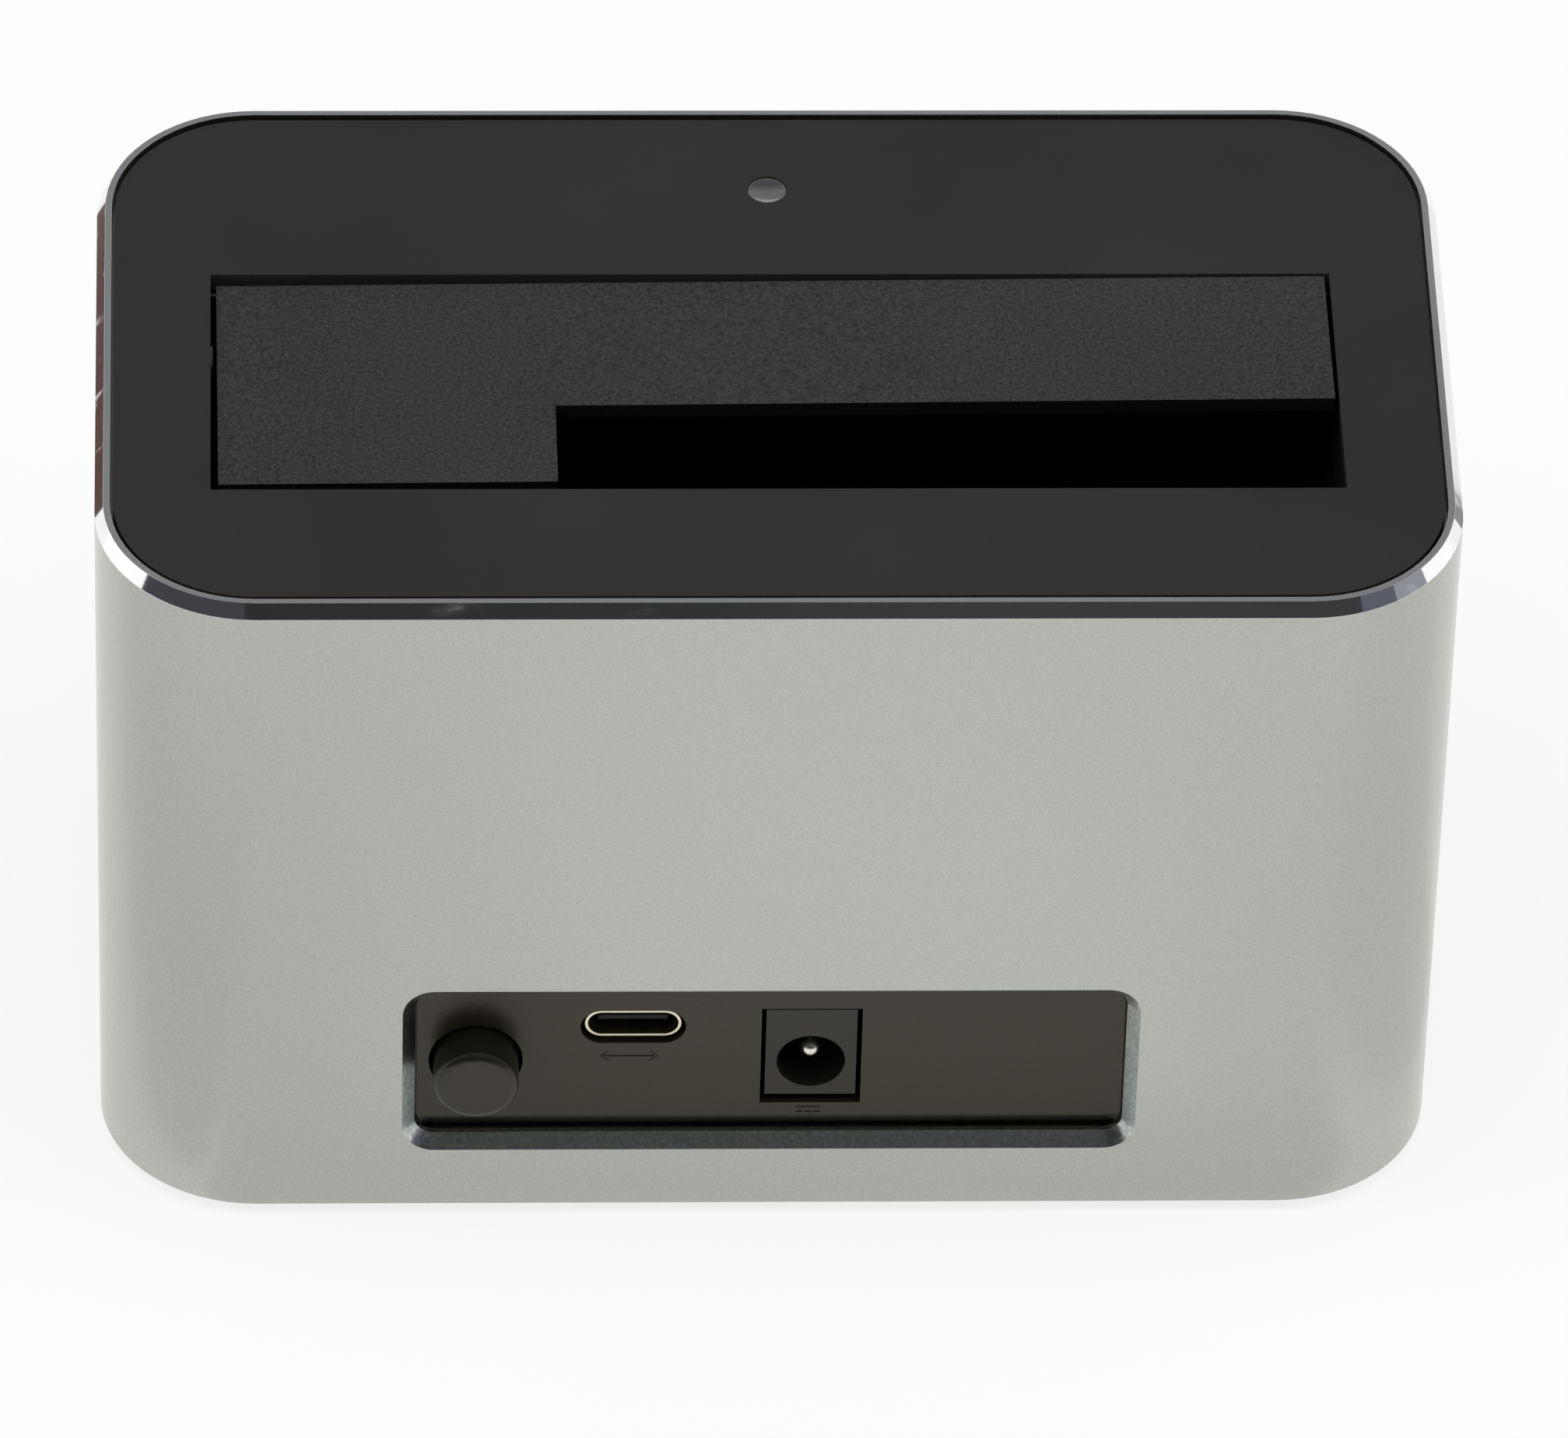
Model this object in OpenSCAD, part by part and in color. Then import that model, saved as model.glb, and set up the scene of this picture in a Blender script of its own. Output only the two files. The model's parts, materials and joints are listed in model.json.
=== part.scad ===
// Hard drive docking station: an aluminium sleeve round a moulded drive bay, with a sprung
// flap over the slot, the main board hung under the bay and the ports in a rear window.
// X runs along the slot, +Y is the rear with the ports, and Z = 0 is the table.

/* [Sleeve] */
// Width of the aluminium sleeve
sleeve_w = 124; // [118:1:136]
// Depth of the sleeve, front to rear
sleeve_d = 70; // [67:1:80]
// Height of the sleeve
sleeve_h = 74.5; // [70:0.5:90]
// Outer radius of the upright corners
corner_r = 14.5; // [10:0.5:18]
// Wall of the sleeve
sleeve_wall = 2.2; // [1.9:0.1:3]
// Wall left beside the cover and the base, where the sleeve is stepped
rim_wall = 1.4; // [1.3:0.1:1.8]
// Height of the polished chamfer round the top edge
rim_chamfer = 1.35; // [0.8:0.05:1.6]
// How far that chamfer draws in
rim_run = 0.8; // [0.4:0.05:1]

/* [Rear window] */
// Width of the window at the rear face
window_w = 68; // [64:0.5:76]
// Height of the window at the rear face
window_h = 20.2; // [18.5:0.1:22]
// Height of the window's middle above the sleeve's lower edge
window_lift = 17; // [15:0.1:19]
// Corner radius of the window at the rear face
window_r = 3; // [2:0.1:5]
// Chamfer round the window
window_chamfer = 1.2; // [0.6:0.1:1.5]

/* [Top cover] */
// Thickness of the top cover
cover_t = 1.8; // [1.5:0.1:2.4]
// How far the cover lies below the rim
cover_drop = 0.2; // [0:0.05:0.5]
// Play at the cover's ends in its seat
cover_gap = 0.3; // [0.15:0.05:0.35]
// Play ahead of the cover and behind it
cover_slack = 0.5; // [0.2:0.05:0.55]
// Diameter of the posts under the cover
post_d = 7; // [6:0.5:8]
// Distance between the posts along the slot
post_span = 60; // [50:1:68]

/* [Drive slot] */
// Width of the slot, for a 101.6 mm drive
slot_w = 103; // [102.4:0.1:105]
// Depth of the slot, for a 26.1 mm drive and the open flap
slot_d = 29.7; // [29:0.1:32]
// Distance of the slot's rear edge from the sleeve's rear face
slot_margin = 16.4; // [15:0.05:18]
// Width of the opening for a 69.85 mm drive
notch_w = 71.6; // [70.5:0.1:74]
// Depth of that opening
notch_d = 12; // [10:0.1:14]
// Length of the guide nub on the slot's end wall
nub_len = 2.5; // [1.5:0.1:4]
// How far the nub stands out of the wall
nub_out = 0.2; // [0.1:0.05:0.25]
// Distance of the nub's middle from the slot's front edge
nub_back = 10.9; // [6:0.1:16]

/* [Flap] */
// Thickness of the flap's plate
flap_t = 1.5; // [1.3:0.1:1.9]
// How far the flap lies below the cover's face
flap_drop = 0.3; // [0.3:0.05:0.5]
// Gap ahead of the flap's front edge
flap_gap = 0.65; // [0.65:0.05:1.2]
// Gap behind the flap's rear edge
flap_rear_gap = 1.6; // [0.8:0.05:1.8]
// Mean gap at the ends of the flap
flap_end_gap = 0.5; // [0.45:0.05:0.8]
// How far the flap sits towards the small drive's end
flap_shift = 0.1; // [0:0.05:0.1]
// Turn of the plate in the slot, from play in the hinge
flap_skew = 0.35; // [0:0.05:0.4]
// Tilt of the plate along the slot, from the same play
flap_tilt = 0.3; // [0:0.05:0.3]
// Height of the stiffening rib under the flap
rib_h = 1.2; // [0.8:0.1:1.6]
// Thickness of that rib
rib_t = 1.2; // [0.8:0.1:1.6]
// Distance of the rib from the flap's edges
rib_inset = 3.5; // [3:0.1:4.5]
// How far the hinge lies ahead of the slot's front edge
hinge_back = 1.3; // [1.1:0.05:1.8]
// Diameter of the hinge knuckles
knuckle_d = 3; // [2.8:0.1:3.4]
// Length of a knuckle
knuckle_len = 6; // [4:0.5:9]
// Distance between the outer knuckles
knuckle_span = 84; // [70:1:90]
// Diameter of the hinge rod
rod_d = 1.6; // [1.4:0.1:1.8]
// Running clearance round the rod
rod_gap = 0.04; // [0.02:0.01:0.08]
// Clearance between moving pieces and what they pass
run_gap = 0.3; // [0.25:0.05:0.5]

/* [Flap spring] */
// Wire of the flap's torsion spring
wire_d = 0.4; // [0.3:0.05:0.45]
// Whole turns of the torsion spring
coil_turns = 5; // [3:1:8]
// Rise of one turn along the rod
coil_pitch = 0.9; // [0.86:0.02:1.2]
// Play between the coil and the rod
coil_gap = 0.2; // [0.16:0.02:0.26]
// Length of the spring's leg under the flap
flap_leg = 5; // [3:0.5:5]
// Length of the spring's leg against the bay
bay_leg = 9; // [5:0.5:14]

/* [Drive bay] */
// Wall of the bay
bay_wall = 1.6; // [1.2:0.1:2.2]
// Step back of the bay's walls from the slot's edges
bay_gap = 0.15; // [0.05:0.05:0.3]
// Thickness of the bay's floor and the shelf round it
shelf_t = 1.8; // [1.4:0.1:2.4]
// Play between the shelf and the sleeve
shelf_gap = 0.3; // [0.2:0.1:0.6]
// Height of the bosses that carry the main board
boss_h = 3.8; // [3:0.1:5]
// Diameter of those bosses
boss_d = 6; // [5:0.5:7]
// Diameter of the bay's legs
leg_d = 7.5; // [6:0.5:8.5]
// Distance between the legs on one side
leg_span = 20; // [14:1:22]
// Height of the rests that the drive stands on
rest_h = 1; // [0.6:0.1:1.6]
// Width of a rest
rest_w = 4; // [2:0.5:6]

/* [Base] */
// Thickness of the base plate
base_t = 2; // [1.8:0.1:3]
// Play round the base in its seat
base_gap = 0.15; // [0.1:0.05:0.3]
// How far the feet lift the base off the table
foot_h = 1.5; // [1:0.1:3]
// Diameter of a foot
foot_d = 11; // [8:0.5:12]
// Distance of a foot's middle from the sleeve's sides
foot_inset = 14; // [11:0.5:16]
// Depth of a foot's seat in the base
foot_seat = 0.6; // [0.3:0.1:0.8]
// Height of the rib that holds the port panel's lower edge
keeper_h = 4; // [2:0.5:6]

/* [Port panel] */
// How far the panel's face lies behind the sleeve's rear face
panel_recess = 1.6; // [1.3:0.1:2]
// Thickness of the panel behind the sleeve's wall
panel_t = 1.8; // [1.4:0.1:2.4]
// How far the panel reaches past the window at each side
panel_lap = 4; // [2:0.5:6]
// Play round the panel's raised face in the window
panel_gap = 0.15; // [0.1:0.05:0.3]
// Height of the sloped lower edge of the raised face
panel_edge = 1.2; // [0.6:0.1:1.5]

/* [Main board] */
// Width of the main board
board_w = 90; // [86:1:92]
// Depth of the main board
board_d = 43.5; // [42:0.5:46]
// Thickness of the boards
board_t = 1.6; // [1.2:0.1:2]
// Height of the board's underside above the window's middle
board_rise = 6.3; // [5.6:0.1:6.8]
// Distance of the fixing holes from the board's side edges
hole_side = 5; // [4:0.5:7]
// Distance of the front fixing holes from the board's front edge
hole_front = 4; // [3.5:0.5:6]
// Distance between the front and rear fixing holes
hole_span = 33; // [31:0.5:34]

/* [Drive connector] */
// Distance of the connector's middle from the slot's small-drive end
dock_side = 30.8; // [30.3:0.1:31.5]
// Distance of the connector's middle from the slot's rear edge
dock_rear = 4.4; // [4.3:0.1:5]
// Length of the connector's foot
dock_len = 42.5; // [41:0.5:44]
// Depth of the connector's foot
dock_d = 6.2; // [5.8:0.1:6.6]
// Height of the connector above the board
dock_h = 9.6; // [8.8:0.1:10.4]
// Height of the connector's foot
dock_foot_h = 3; // [2.4:0.1:3.4]
// Play round the connector in the bay's floor
dock_gap = 0.4; // [0.2:0.1:0.5]

/* [Data socket] */
// Place of the data socket along the window
data_x = 12.7; // [11.5:0.1:14]
// Width of its shell
data_w = 8.94; // [8.9:0.02:9.2]
// Height of its shell
data_h = 3.26; // [3.2:0.02:3.4]
// Length of its shell
data_len = 7.4; // [6.5:0.1:9]
// Wall of its shell
data_wall = 0.3; // [0.25:0.05:0.4]
// How far the shell's mouth lies behind the panel's face
data_recess = 0.5; // [0.2:0.05:0.7]
// Gap between the shell and the board, bridged by the shell's legs
data_drop = 0.6; // [0.4:0.05:0.8]
// Play round the socket in the panel
port_gap = 0.4; // [0.25:0.05:0.5]

/* [Power socket] */
// Place of the power socket along the window
jack_x = -3.8; // [-6:0.1:-2]
// Width of the socket
jack_w = 8.5; // [8.2:0.1:9]
// Height of the socket's face
jack_h = 10.8; // [10.6:0.1:11]
// Length of the socket
jack_len = 14; // [12:0.5:16]
// Length of the socket's collar
collar_len = 3.6; // [3.4:0.1:5]
// Depth of the socket's axis under the board
jack_drop = 7; // [6.3:0.1:7.1]
// Gap between the collar and the board's underside
jack_step = 0.4; // [0.2:0.1:0.6]
// Play under the socket in the panel
jack_play = 0.75; // [0.4:0.05:0.9]
// How far the socket's face lies behind the panel's face
jack_recess = 0.35; // [0.1:0.05:0.6]
// Bore of the socket
jack_bore_d = 6.3; // [6.1:0.1:6.6]
// Depth of that bore
jack_bore_len = 9.5; // [9:0.1:10.5]
// Diameter of the centre pin
pin_d = 2; // [1.6:0.1:2.5]
// How far the pin's tip lies behind the socket's face
pin_recess = 1.1; // [0.8:0.1:2]

/* [Power button] */
// Place of the button along the window
button_x = 27.2; // [25.5:0.1:28]
// Diameter of the button's cap
button_d = 7.9; // [7:0.1:8.2]
// How far the cap stands out of the sleeve's rear face
button_out = 2.25; // [1.5:0.05:4]
// Length of the cap
button_len = 8; // [7:0.1:9]
// Rounding of the cap's edge
button_round = 0.8; // [0.3:0.1:1]
// Clearance round the cap in the panel
button_gap = 0.4; // [0.3:0.05:0.6]
// Width of the flange behind the panel
button_flange = 1.2; // [0.8:0.1:1.6]
// Travel of the button
button_travel = 2.2; // [1.5:0.1:2.5]
// Depth of the button's axis under the board
switch_drop = 6.4; // [6.1:0.1:6.7]
// Width of the switch
switch_w = 8.4; // [7.6:0.1:9]
// Length of the switch
switch_len = 12; // [11:0.5:14]
// Diameter of the switch's plunger
plunger_d = 3; // [2.6:0.1:3.4]

/* [Status light] */
// Place of the light between the sleeve's front wall and the bay, as a share of that space
light_share = 0.57; // [0.4:0.01:0.6]
// Diameter of the lens
light_d = 3.6; // [3:0.1:4.2]
// How far the lens lies below the cover's face
light_drop = 0.35; // [0:0.05:0.4]
// Depth of the light's board under the cover
light_hang = 4.1; // [3.6:0.1:5.5]
// Width of the light's board
light_board_w = 17; // [16:0.5:20]
// Depth of the light's board
light_board_d = 8; // [7:0.5:9]
// Thickness of the lead's two wires
lead_d = 1.2; // [0.8:0.1:1.4]
// Bend radius of the lead
lead_bend = 4; // [3:0.5:6]

/* [Screws] */
// Diameter of the main screws
screw_d = 2.9; // [2.6:0.1:3]
// Length of the main screws in what they hold to
screw_len = 8; // [5:0.5:10]
// Head diameter of the main screws
head_d = 5.4; // [5:0.1:5.6]
// Head height of the main screws
head_h = 1.6; // [1.2:0.1:1.7]
// Diameter of the light's two screws
small_screw_d = 1.9; // [1.5:0.1:2]
// Head diameter of the light's two screws
small_head_d = 3.4; // [3:0.1:3.6]

/* [Hidden] */
$fn = 96;

// Overrun of a cutter past the face it cuts
over = 1;
// Play between two pieces of one body that slip together
slip = 0.05;

// The whole outline, button included, is centred on the origin
body_y = -button_out / 2;
front_y = body_y - sleeve_d / 2;
rear_y = body_y + sleeve_d / 2;

// Heights of the sleeve, the cover and the base
rim_z = foot_h + sleeve_h;
cover_z = rim_z - cover_drop;
cover_low = cover_z - cover_t;
base_top = foot_h + base_t;

// Plan sizes inside the sleeve
inner_w = sleeve_w - 2 * sleeve_wall;
inner_d = sleeve_d - 2 * sleeve_wall;
inner_r = corner_r - sleeve_wall;
seat_w = sleeve_w - 2 * rim_wall;
seat_d = sleeve_d - 2 * rim_wall;
seat_r = corner_r - rim_wall;

// Edges of the slot and of the small drive's opening
slot_rear = rear_y - slot_margin;
slot_front = slot_rear - slot_d;
slot_end = slot_w / 2;
notch_x = notch_w - slot_end;
notch_y = slot_rear - notch_d;

// Flap and hinge
flap_z = cover_z - flap_drop;
flap_low = flap_z - flap_t;
flap_front = slot_front + flap_gap;
hinge_y = slot_front - hinge_back;
hinge_z = cover_low - knuckle_d / 2 - run_gap;
knuckle_xs = [-knuckle_span / 2, 0, knuckle_span / 2];
coil_r = rod_d / 2 + coil_gap + wire_d / 2;
coil_x = knuckle_len / 2 + run_gap + wire_d;

// Bay
bay_end = slot_end + bay_gap;
bay_front = hinge_y - knuckle_d / 2 - run_gap;
bay_rear = slot_rear + bay_gap;

// Space between the sleeve's front wall and the bay
hollow_front = front_y + sleeve_wall;
hollow_rear = bay_front - bay_wall;

// Heights of the boards, the shelf and the ports
window_z = foot_h + window_lift;
board_low = window_z + board_rise;
board_top = board_low + board_t;
shelf_low = board_top + boss_h;
shelf_top = shelf_low + shelf_t;
data_z = board_low - data_drop - data_h / 2;
jack_z = board_low - jack_drop;
button_z = board_low - switch_drop;

// Port panel
panel_face = rear_y - panel_recess;
panel_front = rear_y - sleeve_wall - slip;
panel_back = panel_front - panel_t;
panel_w = window_w + 2 * panel_lap;
pad_w = window_w - 2 * window_chamfer - 2 * panel_gap;
pad_h = window_h - 2 * window_chamfer - 2 * panel_gap;
pad_r = window_r - window_chamfer;
keeper_t = 1.5;

// Main board
board_rear = panel_back - run_gap;
board_front = board_rear - board_d;
hole_xs = [hole_side - board_w / 2, board_w / 2 - hole_side];
hole_ys = [board_front + hole_front, board_front + hole_front + hole_span];

// Posts, legs and feet
post_xs = [-post_span / 2, post_span / 2];
post_ys = [
    (hollow_front + hollow_rear) / 2,
    (rear_y - sleeve_wall + bay_rear + bay_wall) / 2
];
leg_x = (board_w + inner_w) / 4;
leg_xs = [-leg_x, leg_x];
leg_ys = [body_y - leg_span / 2, body_y + leg_span / 2];
foot_xs = [foot_inset - sleeve_w / 2, sleeve_w / 2 - foot_inset];
foot_ys = [front_y + foot_inset, rear_y - foot_inset];

// Drive connector: 7 signal and 15 power contacts, with a gap of 5 pitches between the groups
dock_x = dock_side - slot_end;
dock_y = slot_rear - dock_rear;
dock_pitch = 1.27;
signal_count = 7;
power_count = 15;
group_step = 5;
dock_span = (signal_count + power_count - 2 + group_step) * dock_pitch;
dock_head_d = 5.2;
dock_head_len = dock_span + 2 * dock_pitch;
dock_slot_d = 1.9;
dock_slot_depth = 6;
key_d = 1.1;
key_len = 1.6;
guide_len = 2.4;
guide_tip = 1;
blade_t = 0.3;
blade_w = 0.7;
blade_drop = 1;
rest_d = 10;
rest_xs = [dock_x - dock_len / 2 - rest_w, slot_end / 2, slot_end - 2 * rest_w];

// Data socket
data_front = panel_face - data_recess;
data_back_wall = 0.4;
data_core_len = 2.2;
tongue_w = 6.6;
tongue_t = 0.7;
tongue_recess = 0.8;
data_pitch = 0.5;
data_count = 12;
data_blade_w = 0.26;
data_blade_t = 0.06;
data_blade_len = 3.6;
data_leg_len = 1;
data_leg_out = 0.6;
data_leg_rise = 0.6;
data_leg_x = (data_w - data_wall) / 2 - 0.12;
data_leg_ys = [data_front - data_len + 1.2, data_front - data_len + 3.6];

// Power socket
jack_front = panel_face - jack_recess;
jack_back = jack_front - jack_len;
jack_collar_top = board_low - jack_step;
jack_low = jack_collar_top - jack_h;
waist = 0.6;
pin_root = 0.4;
leaf_w = 2.4;
leaf_t = 0.4;
leaf_len = 7;
terminal_d = 1;
terminal_out = 1.2;
jack_terminals = [[0, 1.5], [0, 7.5], [-3, 4.5]];

// Power button and switch
button_face = rear_y + button_out;
button_rear = button_face - button_len;
flange_t = 1;
switch_front = button_rear - button_travel - run_gap;
switch_back = switch_front - switch_len;
switch_wall = 1.2;
cavity_d = 4.8;
cavity_len = 7.4;
collar_d = 4.2;
collar_t = 1.2;
socket_len = 5;
spring_r = 1.55;
spring_wire = 0.3;
spring_turns = 6;
spring_front = switch_front - switch_wall - run_gap - collar_t - slip - spring_wire / 2;
spring_back = switch_front - switch_wall - cavity_len + slip + spring_wire / 2;
switch_pins = [for (x = [-2.5, 2.5], y = [2.5, 5.5, 8.5]) [x, y]];
switch_pin_d = 0.7;

// Status light
light_y = hollow_front + light_share * (hollow_rear - hollow_front);
light_flange_d = 5.4;
light_flange_t = 1;
led_w = 3.4;
led_d = 2.8;
led_h = 1.5;
light_board_top = cover_low - light_hang;
light_board_t = 1.2;
light_boss_d = 4.4;
light_boss_x = light_board_w / 2 - 2.6;
small_head_h = 1.2;
small_screw_len = 3;

// Lead of the light, from its board down to the plug on the main board
lead_pitch = 2;
lead_x = 4;
lead_y = light_y - 2.2;
header_w = 6;
header_d = 5;
header_h = 4.8;
header_wall = 0.6;
plug_out = 2.4;
plug_z = board_low - header_h / 2;
header_front = board_front + 0.8;
lead_hole_d = 5;

// Parts under the main board: [x, y from the board's rear edge]
chip_at = [8, 20];
chip_w = 9;
chip_h = 0.9;
power_chip_ats = [[-14, 30], [-24, 30]];
power_chip_w = 5;
power_chip_d = 4;
power_chip_h = 1.6;
inductor_ats = [[-14, 20], [-24, 20]];
inductor_w = 7;
inductor_h = 4;
inductor_r = 1.2;
can_ats = [[-14, 9], [-23, 9], [-32, 14]];
can_d = 6.3;
can_h = 7.4;
can_base = 6.6;
can_base_h = 1;
crystal_at = [18, 20];
crystal_w = 3.2;
crystal_d = 2.5;
crystal_h = 0.8;

// Screws
screw_hole_d = screw_d + 0.4;
pilot_d = screw_d + 2 * slip;
pilot_len = screw_len + over;
small_pilot_d = small_screw_d + 2 * slip;
cross_w = 0.7;
cross_depth = 0.7;

// Plan of a rectangle with round corners
module round_rect(x, y, r) {
    square([x - 2 * r, y], center = true);
    square([x, y - 2 * r], center = true);
    for (sx = [-1, 1], sy = [-1, 1])
        translate([sx * (x / 2 - r), sy * (y / 2 - r)]) circle(r);
}

// Plate with round corners
module round_plate(x, y, r, h) {
    linear_extrude(h) round_rect(x, y, r);
}

// Plate with round corners that draws in by the run given on every side
module bevel_plate(x, y, r, h, run) {
    rotate([90, 0, 90]) linear_extrude(x - 2 * r, center = true)
        polygon([[-y / 2, 0], [y / 2, 0], [y / 2 - run, h], [run - y / 2, h]]);
    rotate([90, 0, 0]) linear_extrude(y - 2 * r, center = true)
        polygon([[-x / 2, 0], [x / 2, 0], [x / 2 - run, h], [run - x / 2, h]]);
    for (sx = [-1, 1], sy = [-1, 1])
        translate([sx * (x / 2 - r), sy * (y / 2 - r), 0]) cylinder(h = h, r1 = r, r2 = r - run);
}

// Turns a shape drawn upwards so that it runs into the body from the rear
module from_rear(x, y, z) {
    translate([x, y, z]) rotate([90, 0, 0]) children();
}

// Places its children at each corner of a rectangular pattern
module at_each(xs, ys, z) {
    for (x = xs, y = ys) translate([x, y, z]) children();
}

// Places its children at each listed spot under the main board, hanging down
module under_board(spots) {
    for (s = spots) translate([s[0], board_rear - s[1], board_low]) mirror([0, 0, 1]) children();
}

// Screw driven upwards, with its head's bearing face at the origin
module pan_screw(d, length, hd, hh) {
    difference() {
        union() {
            translate([0, 0, -hh]) cylinder(h = hh, d = hd);
            cylinder(h = length, d = d);
        }
        cross_cut(hd, -hh);
    }
}

// Cross-shaped recess in a screw's head, cut upwards from the height given
module cross_cut(hd, z) {
    for (turn = [0, 90])
        rotate([0, 0, turn]) translate([-hd * 0.3, -cross_w / 2, z - over])
            cube([hd * 0.6, cross_w, cross_depth + over]);
}

// Points along a tube's ring: the tube follows a path whose turns run round the given axis
function unit(v) = v / norm(v);
function heading(path, i) = unit(path[min(i + 1, len(path) - 1)] - path[max(i - 1, 0)]);
function ring(path, i, axis, r, sides) =
    let (t = heading(path, i), u = unit(axis - (axis * t) * t), v = cross(t, u))
    [for (k = [0 : sides - 1]) path[i] + r * (cos(360 * k / sides) * u + sin(360 * k / sides) * v)];

// Tube swept along a path, in triangles
module tube(path, axis, d, sides = 6) {
    rings = len(path);
    points = [for (i = [0 : rings - 1]) each ring(path, i, axis, d / 2, sides)];
    walls = [
        for (i = [0 : rings - 2], k = [0 : sides - 1])
            let (a = i * sides + k, b = i * sides + (k + 1) % sides)
            each [[a, b, b + sides], [a, b + sides, a + sides]]
    ];
    first_cap = [for (k = [1 : sides - 2]) [0, k + 1, k]];
    last = (rings - 1) * sides;
    last_cap = [for (k = [1 : sides - 2]) [last, last + k, last + k + 1]];
    polyhedron(points, concat(walls, first_cap, last_cap));
}

// Least gap between the turns of a coil, measured on its points
function coil_gap_of(path, d, rings_per_turn) = min([
    for (i = [0 : len(path) - 1], j = [0 : len(path) - 1])
        if (j - i >= rings_per_turn / 2) norm(path[i] - path[j]) - d
]);

// Rings in one turn of a spring
turn_rings = 8;

// Torsion spring: a leg under the flap, the turns round the rod, and a leg down the bay's front wall
flap_coil = [
    for (i = [0 : turn_rings * coil_turns + turn_rings / 4])
        let (a = 90 + 360 * i / turn_rings)
        [coil_x + coil_pitch * i / turn_rings, hinge_y + coil_r * cos(a), hinge_z + coil_r * sin(a)]
];
flap_spring_path = concat(
    [flap_coil[0] + [0, flap_leg, 0]],
    flap_coil,
    [flap_coil[len(flap_coil) - 1] - [0, 0, bay_leg]]
);
echo(flap_spring_gap = coil_gap_of(flap_coil, wire_d, turn_rings));

// Return spring of the switch, between its plunger's collar and the back of its cavity
switch_spring_path = [
    for (i = [0 : turn_rings * spring_turns])
        let (a = 360 * i / turn_rings, y = i / (turn_rings * spring_turns))
        [
            button_x + spring_r * cos(a),
            spring_back + (spring_front - spring_back) * y,
            button_z + spring_r * sin(a)
        ]
];
echo(switch_spring_gap = coil_gap_of(switch_spring_path, spring_wire, turn_rings));

// Extruded tube, stepped at both ends to seat the cover and the base, with a bevelled rear window
module aluminium_sleeve() {
    color([0.69, 0.70, 0.67]) difference() {
        translate([0, body_y, foot_h]) {
            round_plate(sleeve_w, sleeve_d, corner_r, sleeve_h - rim_chamfer);
            translate([0, 0, sleeve_h - rim_chamfer])
                bevel_plate(sleeve_w, sleeve_d, corner_r, rim_chamfer, rim_run);
        }
        translate([0, body_y, foot_h - over])
            round_plate(inner_w, inner_d, inner_r, sleeve_h + 2 * over);
        translate([0, body_y, cover_low]) round_plate(seat_w, seat_d, seat_r, sleeve_h);
        translate([0, body_y, foot_h - over]) round_plate(seat_w, seat_d, seat_r, base_t + over);
        from_rear(0, rear_y + over, window_z) bevel_plate(
            window_w + 2 * over, window_h + 2 * over, window_r + over,
            window_chamfer + over, window_chamfer + over
        );
        from_rear(0, rear_y + over, window_z) round_plate(
            window_w - 2 * window_chamfer, window_h - 2 * window_chamfer,
            window_r - window_chamfer, sleeve_wall + 2 * over
        );
    }
}

// Plate with the slot and the light's hole, on four posts that stand on the bay's shelf
module top_cover() {
    keeper_w = bay_wall - 2 * slip;
    rod_top = hinge_z + rod_d / 2 + slip;
    color([0.20, 0.19, 0.185]) difference() {
        union() {
            difference() {
                translate([0, body_y, cover_low]) round_plate(
                    seat_w - 2 * cover_gap, seat_d - 2 * cover_slack, seat_r - cover_gap, cover_t
                );
                translate([-slot_end, slot_front, cover_low - over])
                    cube([slot_w, slot_d, cover_t + 2 * over]);
            }
            translate([slot_end - nub_out, slot_front + nub_back - nub_len / 2, cover_low])
                cube([nub_out, nub_len, cover_t - flap_drop]);
            at_each(post_xs, post_ys, shelf_top) cylinder(h = cover_low - shelf_top, d = post_d);
            at_each([-light_boss_x, light_boss_x], [light_y], light_board_top)
                cylinder(h = light_hang, d = light_boss_d);
            for (side = [-1, 1])
                translate([side * (bay_end + bay_wall / 2), hinge_y, (rod_top + cover_low) / 2])
                    cube([keeper_w, rod_d - 2 * slip, cover_low - rod_top], center = true);
        }
        translate([0, light_y, cover_low - over])
            cylinder(h = cover_t + 2 * over, d = light_d + 2 * slip);
        at_each(post_xs, post_ys, shelf_top - over) cylinder(h = pilot_len + over, d = pilot_d);
        at_each([-light_boss_x, light_boss_x], [light_y], light_board_top - over)
            cylinder(h = small_screw_len + 2 * over, d = small_pilot_d);
    }
}

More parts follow.
